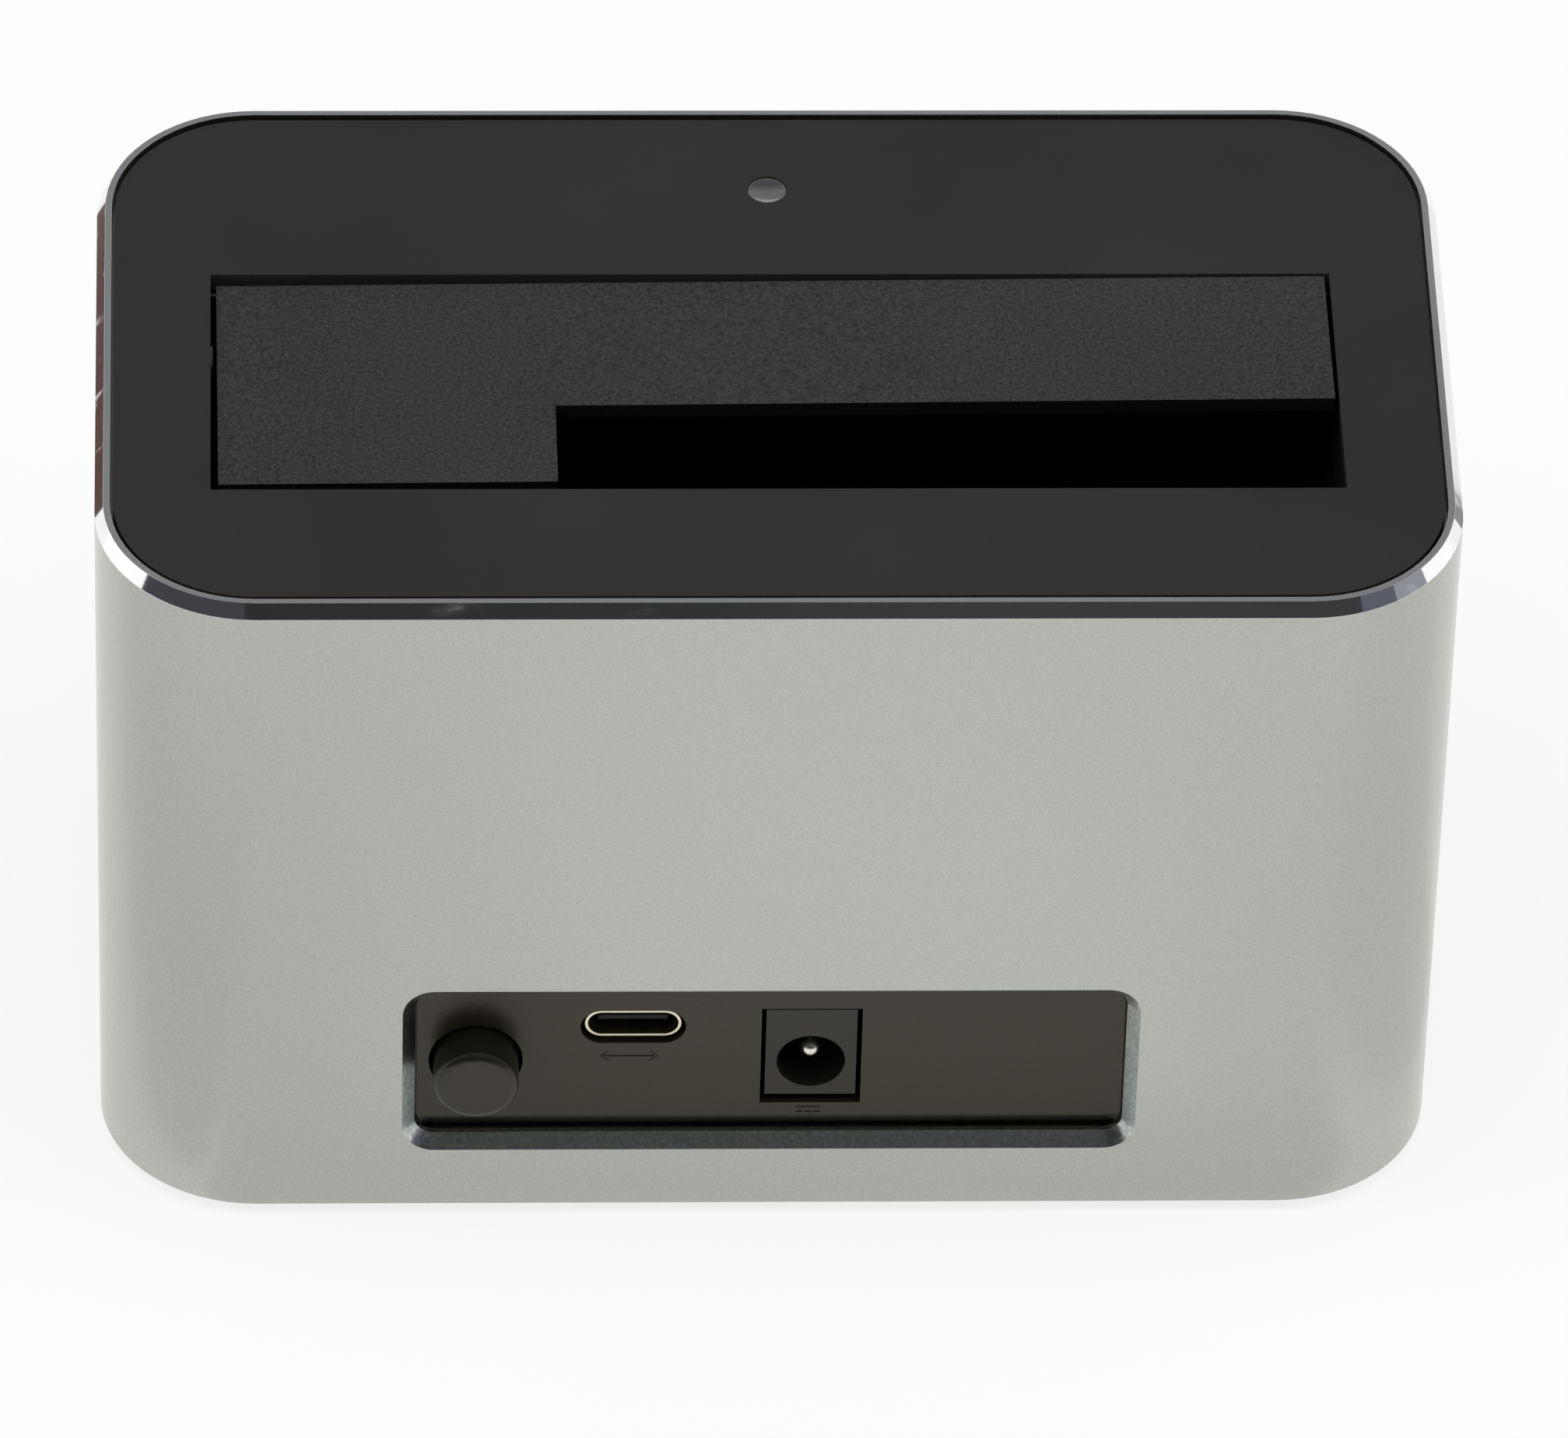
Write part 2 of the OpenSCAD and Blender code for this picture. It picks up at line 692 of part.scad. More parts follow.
// Well for the drive on a shelf that fills the sleeve, with bosses for the board and four legs
module drive_bay() {
    well_d = bay_rear - bay_front + 2 * bay_wall;
    color([0.13, 0.13, 0.135]) difference() {
        union() {
            translate([0, body_y, shelf_low]) round_plate(
                inner_w - 2 * shelf_gap, inner_d - 2 * shelf_gap, inner_r - shelf_gap, shelf_t
            );
            translate([-bay_end - bay_wall, bay_front - bay_wall, shelf_top])
                cube([2 * (bay_end + bay_wall), well_d, cover_low - shelf_top]);
            at_each(hole_xs, hole_ys, board_top) cylinder(h = boss_h, d = boss_d);
            at_each(leg_xs, leg_ys, base_top) cylinder(h = shelf_low - base_top, d = leg_d);
        }
        translate([-bay_end, bay_front, shelf_top])
            cube([2 * bay_end, bay_rear - bay_front, cover_low - shelf_top + over]);
        translate([dock_x, dock_y, shelf_low + shelf_t / 2]) cube([
            dock_len + 2 * dock_gap, dock_head_d + 2 * dock_gap, shelf_t + 2 * over
        ], center = true);
        rod_channel();
        at_each(post_xs, post_ys, shelf_low - over)
            cylinder(h = shelf_t + 2 * over, d = screw_hole_d);
        at_each(hole_xs, hole_ys, board_top - over) cylinder(h = boss_h + over, d = pilot_d);
        at_each(leg_xs, leg_ys, base_top - over) cylinder(h = pilot_len + over, d = pilot_d);
        translate([lead_x, lead_y, shelf_low - over])
            cylinder(h = shelf_t + 2 * over, d = lead_hole_d);
    }
    color([0.13, 0.13, 0.135]) for (x = rest_xs)
        translate([x, bay_rear - rest_d, shelf_top]) cube([rest_w, rest_d, rest_h]);
}

// Channel across both end walls of the bay, open at the top, that the hinge rod drops into
module rod_channel() {
    channel = rod_d + 2 * slip;
    translate([0, hinge_y, hinge_z]) rotate([0, 90, 0])
        cylinder(h = 2 * (bay_end + bay_wall + over), d = channel, center = true);
    translate([-bay_end - bay_wall - over, hinge_y - channel / 2, hinge_z])
        cube([2 * (bay_end + bay_wall + over), channel, cover_low - hinge_z + over]);
}

// Plate in the sleeve's lower step, with seats for the feet, countersunk holes and the panel's rib
module base_plate() {
    color([0.13, 0.13, 0.135]) difference() {
        union() {
            translate([0, body_y, foot_h]) round_plate(
                seat_w - 2 * base_gap, seat_d - 2 * base_gap, seat_r - base_gap, base_t
            );
            translate([-panel_w / 2, panel_back - slip - keeper_t, base_top])
                cube([panel_w, keeper_t, keeper_h]);
        }
        at_each(foot_xs, foot_ys, foot_h - over) cylinder(h = foot_seat + over, d = foot_d + 2 * slip);
        at_each(leg_xs, leg_ys, foot_h - over) cylinder(h = base_t + 2 * over, d = screw_hole_d);
        at_each(leg_xs, leg_ys, foot_h)
            cylinder(h = head_h, d1 = head_d + 2 * slip, d2 = screw_d + 2 * slip);
    }
}

// Four round feet, domed at the edge, glued into their seats
module rubber_feet() {
    edge = foot_h / 3;
    color([0.09, 0.09, 0.09]) at_each(foot_xs, foot_ys, 0) {
        cylinder(h = edge, d1 = foot_d - 2 * edge, d2 = foot_d);
        translate([0, 0, edge]) cylinder(h = foot_h + foot_seat - edge, d = foot_d);
    }
}

// Panel behind the rear wall, whose raised face fills the window and holds the ports
module port_panel() {
    pad_out = panel_face - panel_front;
    panel_h = shelf_low - slip - base_top;
    cut = panel_face - panel_back + 2 * over;
    color([0.235, 0.224, 0.205]) difference() {
        union() {
            translate([-panel_w / 2, panel_back, base_top]) cube([panel_w, panel_t, panel_h]);
            from_rear(0, panel_face, window_z) round_plate(pad_w, pad_h, pad_r, pad_out + panel_t);
        }
        translate([0, panel_face, window_z - pad_h / 2]) rotate([90, 0, 90])
            linear_extrude(pad_w + 2 * over, center = true) polygon([
                [0, panel_edge], [slip - pad_out, 0], [slip - pad_out, -over],
                [over, -over], [over, panel_edge]
            ]);
        from_rear(data_x, panel_face + over, data_z)
            linear_extrude(cut) stadium(data_w + 2 * port_gap, data_h + 2 * port_gap);
        from_rear(jack_x, panel_face + over, jack_low + (jack_h + port_gap - jack_play) / 2)
            linear_extrude(cut)
                square([jack_w + 2 * port_gap, jack_h + port_gap + jack_play], center = true);
        from_rear(button_x, panel_face + over, button_z)
            cylinder(h = cut, d = button_d + 2 * button_gap);
    }
}

// Corners of the flap's plate, drawn in by the inset given
function flap_corners(inset) =
    let (
        left = flap_end_gap - flap_shift + inset - slot_end,
        right = slot_end - flap_end_gap - flap_shift - inset,
        front = flap_front + inset,
        rear = slot_rear - flap_rear_gap - inset
    )
    [
        [left, front], [right, front], [right, rear], [notch_x + inset, rear],
        [notch_x + inset, notch_y - inset], [left, notch_y - inset]
    ];

// L-shaped plate with a rib underneath and knuckles on the rod
module flap_door() {
    middle = [0, (flap_front + slot_rear - flap_rear_gap) / 2, flap_low + flap_t / 2];
    color([0.235, 0.235, 0.245]) difference() {
        union() {
            translate(middle) rotate([0, flap_tilt, flap_skew]) translate(-middle) {
                translate([0, 0, flap_low]) linear_extrude(flap_t) polygon(flap_corners(0));
                translate([0, 0, flap_low - rib_h]) linear_extrude(rib_h + flap_t / 2) difference() {
                    polygon(flap_corners(rib_inset));
                    polygon(flap_corners(rib_inset + rib_t));
                }
            }
            for (x = knuckle_xs) translate([x, 0, 0]) knuckle();
        }
        translate([0, hinge_y, hinge_z]) rotate([0, 90, 0])
            cylinder(h = slot_w, d = rod_d + 2 * rod_gap, center = true);
    }
}

// Round barrel on the rod, with the arm to the flap's plate that stops under the cover's edge
module knuckle() {
    r = knuckle_d / 2;
    rotate([90, 0, 90]) linear_extrude(knuckle_len, center = true) {
        translate([hinge_y, hinge_z]) circle(r);
        polygon([
            [hinge_y, hinge_z - r],
            [flap_front + rib_inset, flap_low - rib_h],
            [flap_front + rib_inset, flap_low + flap_t / 2],
            [flap_front + hinge_back, flap_low + flap_t / 2],
            [flap_front + hinge_back, hinge_z + r],
            [hinge_y, hinge_z + r]
        ]);
    }
}

// Steel rod across the bay
module hinge_rod() {
    color([0.62, 0.62, 0.63]) translate([0, hinge_y, hinge_z]) rotate([0, 90, 0])
        cylinder(h = 2 * (bay_end + bay_wall), d = rod_d, center = true);
}

// Torsion spring that closes the flap
module flap_spring() {
    color([0.72, 0.72, 0.73]) tube(flap_spring_path, [1, 0, 0], wire_d);
}

// Circuit board, drilled for its screws and for the sockets' and the switch's legs
module main_board() {
    color([0.08, 0.28, 0.16]) difference() {
        translate([-board_w / 2, board_front, board_low]) cube([board_w, board_d, board_t]);
        at_each(hole_xs, hole_ys, board_low - over)
            cylinder(h = board_t + 2 * over, d = screw_hole_d);
        for (s = jack_terminals)
            translate([jack_x + s[0], jack_back + s[1], board_low - over])
                cylinder(h = board_t + 2 * over, d = terminal_d + 2 * slip);
        for (s = switch_pins)
            translate([button_x + s[0], switch_back + s[1], board_low - over])
                cylinder(h = board_t + 2 * over, d = switch_pin_d + 2 * slip);
        data_legs(data_wall + 2 * slip, data_leg_len + 2 * slip, board_low - over, board_top + over);
    }
}

// Places along the drive connector, from its first contact
function contact_x(i) =
    dock_x - dock_span / 2 + dock_pitch * (i < signal_count ? i : i - 1 + group_step);

// Slots for the drive's two tongues, each with the leg that keys it
module dock_slots() {
    groups = [[0, signal_count - 1], [signal_count, signal_count + power_count - 1]];
    for (g = groups) {
        low = contact_x(g[0]) - dock_pitch;
        long = contact_x(g[1]) + dock_pitch - low;
        translate([low, dock_y - dock_slot_d / 2]) square([long, dock_slot_d]);
        translate([low, dock_y - dock_slot_d / 2 - key_d]) square([key_len, key_d + slip]);
    }
}

// Receptacle for the drive: foot, slotted head and a guide post at each end
module dock_housing() {
    head_low = board_top + dock_foot_h;
    top_z = board_top + dock_h;
    color([0.07, 0.07, 0.07]) difference() {
        union() {
            translate([dock_x - dock_len / 2, dock_y - dock_d / 2, board_top])
                cube([dock_len, dock_d, dock_foot_h]);
            translate([dock_x - dock_head_len / 2 - key_len, dock_y - dock_head_d / 2, head_low])
                cube([dock_head_len + 2 * key_len, dock_head_d, dock_h - dock_foot_h - guide_tip]);
            for (side = [-1, 1])
                translate([dock_x + side * (dock_len - guide_len) / 2, dock_y, head_low])
                    rotate([90, 0, 90]) linear_extrude(guide_len, center = true) polygon([
                        [-dock_head_d / 2, 0], [dock_head_d / 2, 0],
                        [dock_head_d / 2, top_z - head_low - guide_tip],
                        [dock_head_d / 2 - guide_tip, top_z - head_low],
                        [guide_tip - dock_head_d / 2, top_z - head_low],
                        [-dock_head_d / 2, top_z - head_low - guide_tip]
                    ]);
        }
        translate([0, 0, top_z - guide_tip - dock_slot_depth])
            linear_extrude(dock_slot_depth + over) dock_slots();
    }
}

// Spring blades along the rear wall of the connector's slots
module dock_contacts() {
    slot_z = board_top + dock_h - guide_tip - dock_slot_depth;
    color([0.80, 0.66, 0.30]) for (i = [0 : signal_count + power_count - 1])
        translate([contact_x(i) - blade_w / 2, dock_y + dock_slot_d / 2 - blade_t, slot_z])
            cube([blade_w, blade_t, dock_slot_depth - blade_drop]);
}

// Outline with round ends
module stadium(x, y) {
    square([x - y, y], center = true);
    for (side = [-1, 1]) translate([side * (x - y) / 2, 0]) circle(d = y);
}

// Drawn steel shell of the data socket, closed at the back, with four legs through the board
module data_shell() {
    color([0.72, 0.70, 0.66]) {
        from_rear(data_x, data_front, data_z) difference() {
            linear_extrude(data_len) stadium(data_w, data_h);
            translate([0, 0, -over]) linear_extrude(data_len - data_back_wall + over)
                stadium(data_w - 2 * data_wall, data_h - 2 * data_wall);
        }
        data_legs(data_wall, data_leg_len, data_z + data_leg_rise, board_top + data_leg_out);
    }
}

// Upright blades at the four places of the shell's legs, from one height to another
module data_legs(t, len, low, high) {
    for (side = [-1, 1], y = data_leg_ys)
        translate([data_x + side * data_leg_x - t / 2, y - len / 2, low]) cube([t, len, high - low]);
}

// Moulded core of the data socket, with its tongue
module data_tongue() {
    core_front = data_len - data_back_wall - data_core_len;
    color([0.06, 0.06, 0.06]) from_rear(data_x, data_front, data_z) {
        translate([0, 0, core_front]) linear_extrude(data_core_len)
            stadium(data_w - 2 * data_wall - 2 * slip, data_h - 2 * data_wall - 2 * slip);
        translate([0, 0, tongue_recess]) linear_extrude(core_front - tongue_recess)
            square([tongue_w, tongue_t], center = true);
    }
}

// Contacts on both faces of the tongue
module data_contacts() {
    color([0.80, 0.66, 0.30]) for (i = [0 : data_count - 1], face = [-1, 1])
        from_rear(
            data_x + (i - (data_count - 1) / 2) * data_pitch, data_front - tongue_recess - data_blade_t,
            data_z + face * (tongue_t + data_blade_t) / 2
        ) linear_extrude(data_blade_len) square([data_blade_w, data_blade_t], center = true);
}

// Moulded body of the power socket: a collar in the panel, a narrower waist and the bore
module dc_jack_housing() {
    waist_w = jack_w - 2 * waist;
    waist_low = jack_low + waist;
    color([0.06, 0.06, 0.06]) difference() {
        union() {
            translate([jack_x - jack_w / 2, jack_front - collar_len, jack_low])
                cube([jack_w, collar_len, jack_h]);
            translate([jack_x - waist_w / 2, jack_back, waist_low])
                cube([waist_w, jack_len - collar_len, board_low - waist_low]);
        }
        from_rear(jack_x, jack_front + over, jack_z)
            cylinder(h = jack_bore_len + over, d = jack_bore_d);
        from_rear(jack_x, jack_front, jack_z)
            cylinder(h = jack_len + over, d = pin_d + 2 * pin_root + 2 * slip);
        translate([jack_x - leaf_w / 2 - slip, jack_front - jack_bore_len, jack_z])
            cube([leaf_w + 2 * slip, leaf_len + slip, jack_bore_d / 2 + leaf_t + slip]);
    }
}

// Centre pin of the power socket, with a round tip and a thicker root in the housing
module dc_jack_pin() {
    r = pin_d / 2;
    free = jack_bore_len - pin_recess;
    color([0.78, 0.77, 0.74]) from_rear(jack_x, jack_front - pin_recess, jack_z)
        rotate_extrude() intersection() {
            union() {
                translate([0, r]) circle(r);
                translate([0, r]) square([r, free]);
                translate([0, free]) square([r + pin_root, jack_len - jack_bore_len]);
            }
            square([pin_d + pin_root, jack_len]);
        }
}

// Leaf that presses on the outside of the plug, in its groove at the top of the bore
module dc_jack_leaf() {
    color([0.75, 0.74, 0.70])
        translate([jack_x - leaf_w / 2, jack_front - jack_bore_len, jack_z + jack_bore_d / 2])
            cube([leaf_w, leaf_len, leaf_t]);
}

// Legs of the power socket, through the board
module dc_jack_terminals() {
    color([0.75, 0.74, 0.70]) for (s = jack_terminals)
        translate([jack_x + s[0], jack_back + s[1], board_low])
            cylinder(h = board_t + terminal_out, d = terminal_d);
}

// Cap with a rounded edge, a socket for the plunger and a flange behind the panel
module button_cap() {
    r = button_d / 2;
    color([0.235, 0.228, 0.212]) difference() {
        from_rear(button_x, button_face, button_z) rotate_extrude() {
            translate([0, button_round]) square([r, button_len - button_round]);
            square([r - button_round, button_round + slip]);
            intersection() {
                translate([r - button_round, button_round]) circle(button_round);
                square([r, button_len]);
            }
            translate([0, button_len - flange_t]) square([r + button_flange, flange_t]);
        }
        from_rear(button_x, button_rear + socket_len, button_z)
            cylinder(h = socket_len + over, d = plunger_d + 2 * slip);
    }
}

// Body of the push switch, hung from the board, with a cavity for its plunger and spring
module switch_housing() {
    low = button_z - switch_w / 2;
    color([0.10, 0.10, 0.10]) difference() {
        translate([button_x - switch_w / 2, switch_back, low])
            cube([switch_w, switch_len, board_low - low]);
        from_rear(button_x, switch_front + over, button_z)
            cylinder(h = switch_wall + 2 * over, d = plunger_d + 2 * run_gap);
        from_rear(button_x, switch_front - switch_wall, button_z)
            cylinder(h = cavity_len, d = cavity_d);
    }
}

// Stem that carries the cap, with the collar that keeps it in the switch
module switch_plunger() {
    collar_front = switch_front - switch_wall - run_gap;
    stem_front = button_rear + socket_len;
    color([0.85, 0.84, 0.80]) {
        from_rear(button_x, stem_front, button_z)
            cylinder(h = stem_front - collar_front, d = plunger_d);
        from_rear(button_x, collar_front, button_z) cylinder(h = collar_t, d = collar_d);
    }
}

// Return spring of the switch
module switch_spring() {
    color([0.72, 0.72, 0.73]) tube(switch_spring_path, [0, 1, 0], spring_wire);
}

// Legs of the switch, through the board
module switch_terminals() {
    color([0.75, 0.74, 0.70]) for (s = switch_pins)
        translate([button_x + s[0], switch_back + s[1], board_low])
            cylinder(h = board_t + terminal_out, d = switch_pin_d);
}

// Controller that joins the drive to the data socket
module bridge_chip() {
    color([0.09, 0.09, 0.10]) under_board([chip_at])
        translate([-chip_w / 2, -chip_w / 2, 0]) cube([chip_w, chip_w, chip_h]);
}

// Converters for the drive's two supplies
module power_chips() {
    color([0.09, 0.09, 0.10]) under_board(power_chip_ats)
        translate([-power_chip_w / 2, -power_chip_d / 2, 0])
            cube([power_chip_w, power_chip_d, power_chip_h]);
}

// Moulded chokes of the converters
module inductors() {
    color([0.22, 0.22, 0.23]) under_board(inductor_ats)
        round_plate(inductor_w, inductor_w, inductor_r, inductor_h);
}

// Can capacitors on their square bases
module capacitors() {
    color([0.74, 0.74, 0.76]) under_board(can_ats) {
        translate([-can_base / 2, -can_base / 2, 0]) cube([can_base, can_base, can_base_h]);
        translate([0, 0, can_base_h]) cylinder(h = can_h - can_base_h, d = can_d);
    }
}

// Clock crystal in its metal can
module crystal() {
    color([0.76, 0.76, 0.75]) under_board([crystal_at])
        translate([-crystal_w / 2, -crystal_d / 2, 0]) cube([crystal_w, crystal_d, crystal_h]);
}

// Lens in the cover, with a flange against its underside and a stem down to the lamp
module light_pipe() {
    lamp_top = light_board_top + led_h + run_gap;
    color([0.72, 0.73, 0.74]) translate([0, light_y, 0]) {
        translate([0, 0, cover_low]) cylinder(h = cover_t - light_drop, d = light_d);
        translate([0, 0, cover_low - light_flange_t])
            cylinder(h = light_flange_t, d = light_flange_d);
        translate([0, 0, lamp_top])
            cylinder(h = cover_low - light_flange_t - lamp_top, d = light_d);
    }
}

// Small board that holds the lamp under the lens
module light_board() {
    color([0.08, 0.28, 0.16]) difference() {
        translate([-light_board_w / 2, light_y - light_board_d / 2, light_board_top - light_board_t])
            cube([light_board_w, light_board_d, light_board_t]);
        at_each([-light_boss_x, light_boss_x], [light_y], light_board_top - light_board_t - over)
            cylinder(h = light_board_t + 2 * over, d = small_screw_d + 0.3);
    }
}

// Lamp on the small board
module status_led() {
    color([0.90, 0.90, 0.86]) translate([-led_w / 2, light_y - led_d / 2, light_board_top])
        cube([led_w, led_d, led_h]);
}

// Shrouded header for the light's lead, open to the front
module light_header() {
    color([0.86, 0.84, 0.78]) translate([lead_x - header_w / 2, header_front, board_low - header_h])
        difference() {
            cube([header_w, header_d, header_h]);
            translate([header_wall, -over, header_wall]) cube([
                header_w - 2 * header_wall, header_d - header_wall + over, header_h - 2 * header_wall
            ]);
        }
}

// Plug in the header, on the end of the lead
module light_plug() {
    plug_w = header_w - 2 * header_wall - 2 * slip;
    plug_h = header_h - 2 * header_wall - 2 * slip;
    plug_len = header_d - header_wall - slip + plug_out;
    color([0.88, 0.86, 0.80])
        translate([lead_x - plug_w / 2, header_front - plug_out, plug_z - plug_h / 2])
            cube([plug_w, plug_len, plug_h]);
}

// Two wires from the small board, down through the shelf and back to the plug
module light_wires() {
    top = light_board_top - light_board_t;
    bend_z = plug_z + lead_bend;
    color([0.55, 0.10, 0.10]) for (side = [-1, 1]) translate([lead_x + side * lead_pitch / 2, 0, 0]) {
        translate([0, lead_y, bend_z]) cylinder(h = top - bend_z, d = lead_d);
        translate([0, lead_y + lead_bend, bend_z]) rotate([90, 0, 90]) rotate([0, 0, 180])
            rotate_extrude(angle = 90) translate([lead_bend, 0]) circle(d = lead_d);
        from_rear(0, header_front - plug_out, plug_z)
            cylinder(h = header_front - plug_out - lead_y - lead_bend, d = lead_d);
    }
}

// Screws up through the shelf into the cover's posts
module cover_screws() {
    color([0.55, 0.55, 0.56]) at_each(post_xs, post_ys, shelf_low)
        pan_screw(screw_d, shelf_t + screw_len, head_d, head_h);
}

// Screws up through the main board into the bay's bosses
module board_screws() {
    color([0.55, 0.55, 0.56]) at_each(hole_xs, hole_ys, board_low)
        pan_screw(screw_d, board_t + boss_h - slip, head_d, head_h);
}

// Countersunk screws up through the base into the bay's legs
module base_screws() {
    color([0.30, 0.30, 0.31]) at_each(leg_xs, leg_ys, foot_h) difference() {
        union() {
            cylinder(h = head_h, d1 = head_d, d2 = screw_d);
            translate([0, 0, head_h]) cylinder(h = base_t - head_h + screw_len, d = screw_d);
        }
        cross_cut(head_d, 0);
    }
}

// Screws up through the small board into the cover's bosses
module light_screws() {
    color([0.55, 0.55, 0.56])
        at_each([-light_boss_x, light_boss_x], [light_y], light_board_top - light_board_t)
            pan_screw(small_screw_d, light_board_t + small_screw_len, small_head_d, small_head_h);
}

aluminium_sleeve();
top_cover();
drive_bay();
base_plate();
rubber_feet();
port_panel();
flap_door();
hinge_rod();
flap_spring();
main_board();
dock_housing();
dock_contacts();
data_shell();
data_tongue();
data_contacts();
dc_jack_housing();
dc_jack_pin();
dc_jack_leaf();
dc_jack_terminals();
button_cap();
switch_housing();
switch_plunger();
switch_spring();
switch_terminals();
bridge_chip();
power_chips();
inductors();
capacitors();
crystal();
light_pipe();
light_board();
status_led();
light_header();
light_plug();
light_wires();
cover_screws();
board_screws();
base_screws();
light_screws();
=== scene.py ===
import json
import math

import bmesh
import bpy
from mathutils import Matrix, Vector

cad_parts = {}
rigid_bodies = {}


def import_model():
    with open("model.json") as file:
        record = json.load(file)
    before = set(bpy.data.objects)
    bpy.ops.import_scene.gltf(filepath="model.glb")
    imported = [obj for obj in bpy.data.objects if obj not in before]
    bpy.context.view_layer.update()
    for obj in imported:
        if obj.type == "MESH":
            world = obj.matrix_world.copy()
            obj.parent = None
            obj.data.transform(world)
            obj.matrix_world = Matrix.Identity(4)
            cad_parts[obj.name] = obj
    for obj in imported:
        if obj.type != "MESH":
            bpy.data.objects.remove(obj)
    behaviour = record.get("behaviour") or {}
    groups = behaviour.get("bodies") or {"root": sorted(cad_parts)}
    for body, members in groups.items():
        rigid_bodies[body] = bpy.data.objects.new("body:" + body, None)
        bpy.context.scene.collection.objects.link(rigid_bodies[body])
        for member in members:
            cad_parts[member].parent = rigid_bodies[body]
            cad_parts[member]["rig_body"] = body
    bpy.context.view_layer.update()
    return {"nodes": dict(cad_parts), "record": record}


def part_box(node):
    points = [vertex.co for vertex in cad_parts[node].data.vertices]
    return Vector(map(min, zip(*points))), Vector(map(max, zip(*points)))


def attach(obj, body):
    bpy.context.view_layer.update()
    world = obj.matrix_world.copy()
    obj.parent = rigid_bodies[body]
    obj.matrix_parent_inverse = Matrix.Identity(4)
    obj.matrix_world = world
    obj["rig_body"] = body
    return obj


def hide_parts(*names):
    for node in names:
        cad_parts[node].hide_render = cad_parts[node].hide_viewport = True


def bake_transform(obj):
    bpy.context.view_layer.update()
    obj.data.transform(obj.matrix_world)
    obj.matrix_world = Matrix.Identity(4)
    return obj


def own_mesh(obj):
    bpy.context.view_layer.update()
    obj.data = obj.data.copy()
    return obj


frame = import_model()
nodes = frame["nodes"]
scene = bpy.context.scene
scene.view_settings.view_transform = "Standard"
mm = 0.001
tiny = 1e-7   # metres, as good as nothing
print("frame loaded:", len(nodes), "nodes")

# camera at the photo's angle, fitted to the sleeve's edges
photoCamera = {
    "turn": 2.8098,        # degrees from the rear towards +X
    "rise": 42.466,
    "roll": 1.7698,
    "distance": 1399.63,   # mm
    "target": (-1.965, -1.125, 30.439),
    "focal": 19229.6,      # pixels, for a frame 2015 wide
    "frameWidth": 2015.0,
    "sensor": 36.0,        # mm
    "clip": (0.05, 60.0),  # metres
}


def heading(turn, rise):
    turn, rise = math.radians(turn), math.radians(rise)
    return Vector((math.sin(turn) * math.cos(rise), math.cos(turn) * math.cos(rise), math.sin(rise)))


def placeCamera(spec):
    back = heading(spec["turn"], spec["rise"])
    right = Vector((0, 0, 1)).cross(back).normalized()
    up = back.cross(right)
    roll = math.radians(spec["roll"])
    rightRolled = math.cos(roll) * right + math.sin(roll) * up
    upRolled = math.cos(roll) * up - math.sin(roll) * right
    data = bpy.data.cameras.new("photoCamera")
    data.sensor_fit = "HORIZONTAL"
    data.sensor_width = spec["sensor"]
    data.lens = spec["focal"] / spec["frameWidth"] * spec["sensor"]
    data.clip_start, data.clip_end = spec["clip"]
    eye = bpy.data.objects.new("photoCamera", data)
    scene.collection.objects.link(eye)
    place = Vector(spec["target"]) + back * spec["distance"]
    axes = Matrix((rightRolled, upRolled, back)).transposed().to_4x4()
    eye.matrix_world = Matrix.Translation(place * mm) @ axes
    scene.camera = eye


placeCamera(photoCamera)
print("camera placed")

# plain studio: pale floor, soft lamps, and cards that only reflections see
studio = {
    "floorColour": (0.94, 0.94, 0.935),
    "floorRough": 0.9,
    "floorGloss": 0.1,
    "floorSize": 14.0,
    "floorDrop": 0.00003,  # metres, just below the feet
    "floorGlow": 0.80,     # share of plain white in the floor as seen; the rest keeps the shadow
    "ambient": 0.43,
    "aim": (0, 0, 0.04),   # what the lamps point at
    "lamps": {
        "softTop": {"at": (0.0, 0.25, 1.5), "size": (1.3, 1.0), "watts": 11.8},
        "softLeft": {"at": (1.15, 0.12, 0.62), "size": (0.7, 0.55), "watts": 4.2},
        "softRight": {"at": (-1.15, 0.10, 0.62), "size": (0.7, 0.55), "watts": 4.2},
    },
}
ballCards = {   # patches of a ball round the dock: turns from the rear towards +X, rises from the horizon
    "cameraLeft": {"turns": (-2, 8), "rises": (4, 33), "colour": (0.031, 0.031, 0.032)},
    "cameraRight": {"turns": (-38, -2), "rises": (4, 33), "colour": (0.046, 0.046, 0.049)},
    "cameraHigh": {"turns": (-38, 8), "rises": (33, 90), "colour": (0.098, 0.103, 0.102)},
    "nearLeft": {"turns": (8, 80), "rises": (4, 90), "colour": (0.055, 0.057, 0.066)},
    "nearRight": {"turns": (-61, -38), "rises": (2, 76), "colour": (0.115, 0.120, 0.150)},
    "outerRight": {"turns": (-88, -61), "rises": (2, 76), "colour": (0.30, 0.31, 0.345)},
    "farSide": {"turns": (104, 256), "rises": (17, 90), "colour": (0.25, 0.245, 0.25)},
    "lowLeft": {"turns": (75.5, 122), "rises": (0.4, 19), "distance": 0.6, "colour": (1.1, 1.1, 1.09)},
    "lowRight": {"turns": (-122, -82), "rises": (0.4, 19), "distance": 0.6, "colour": (1.1, 1.1, 1.1)},
}
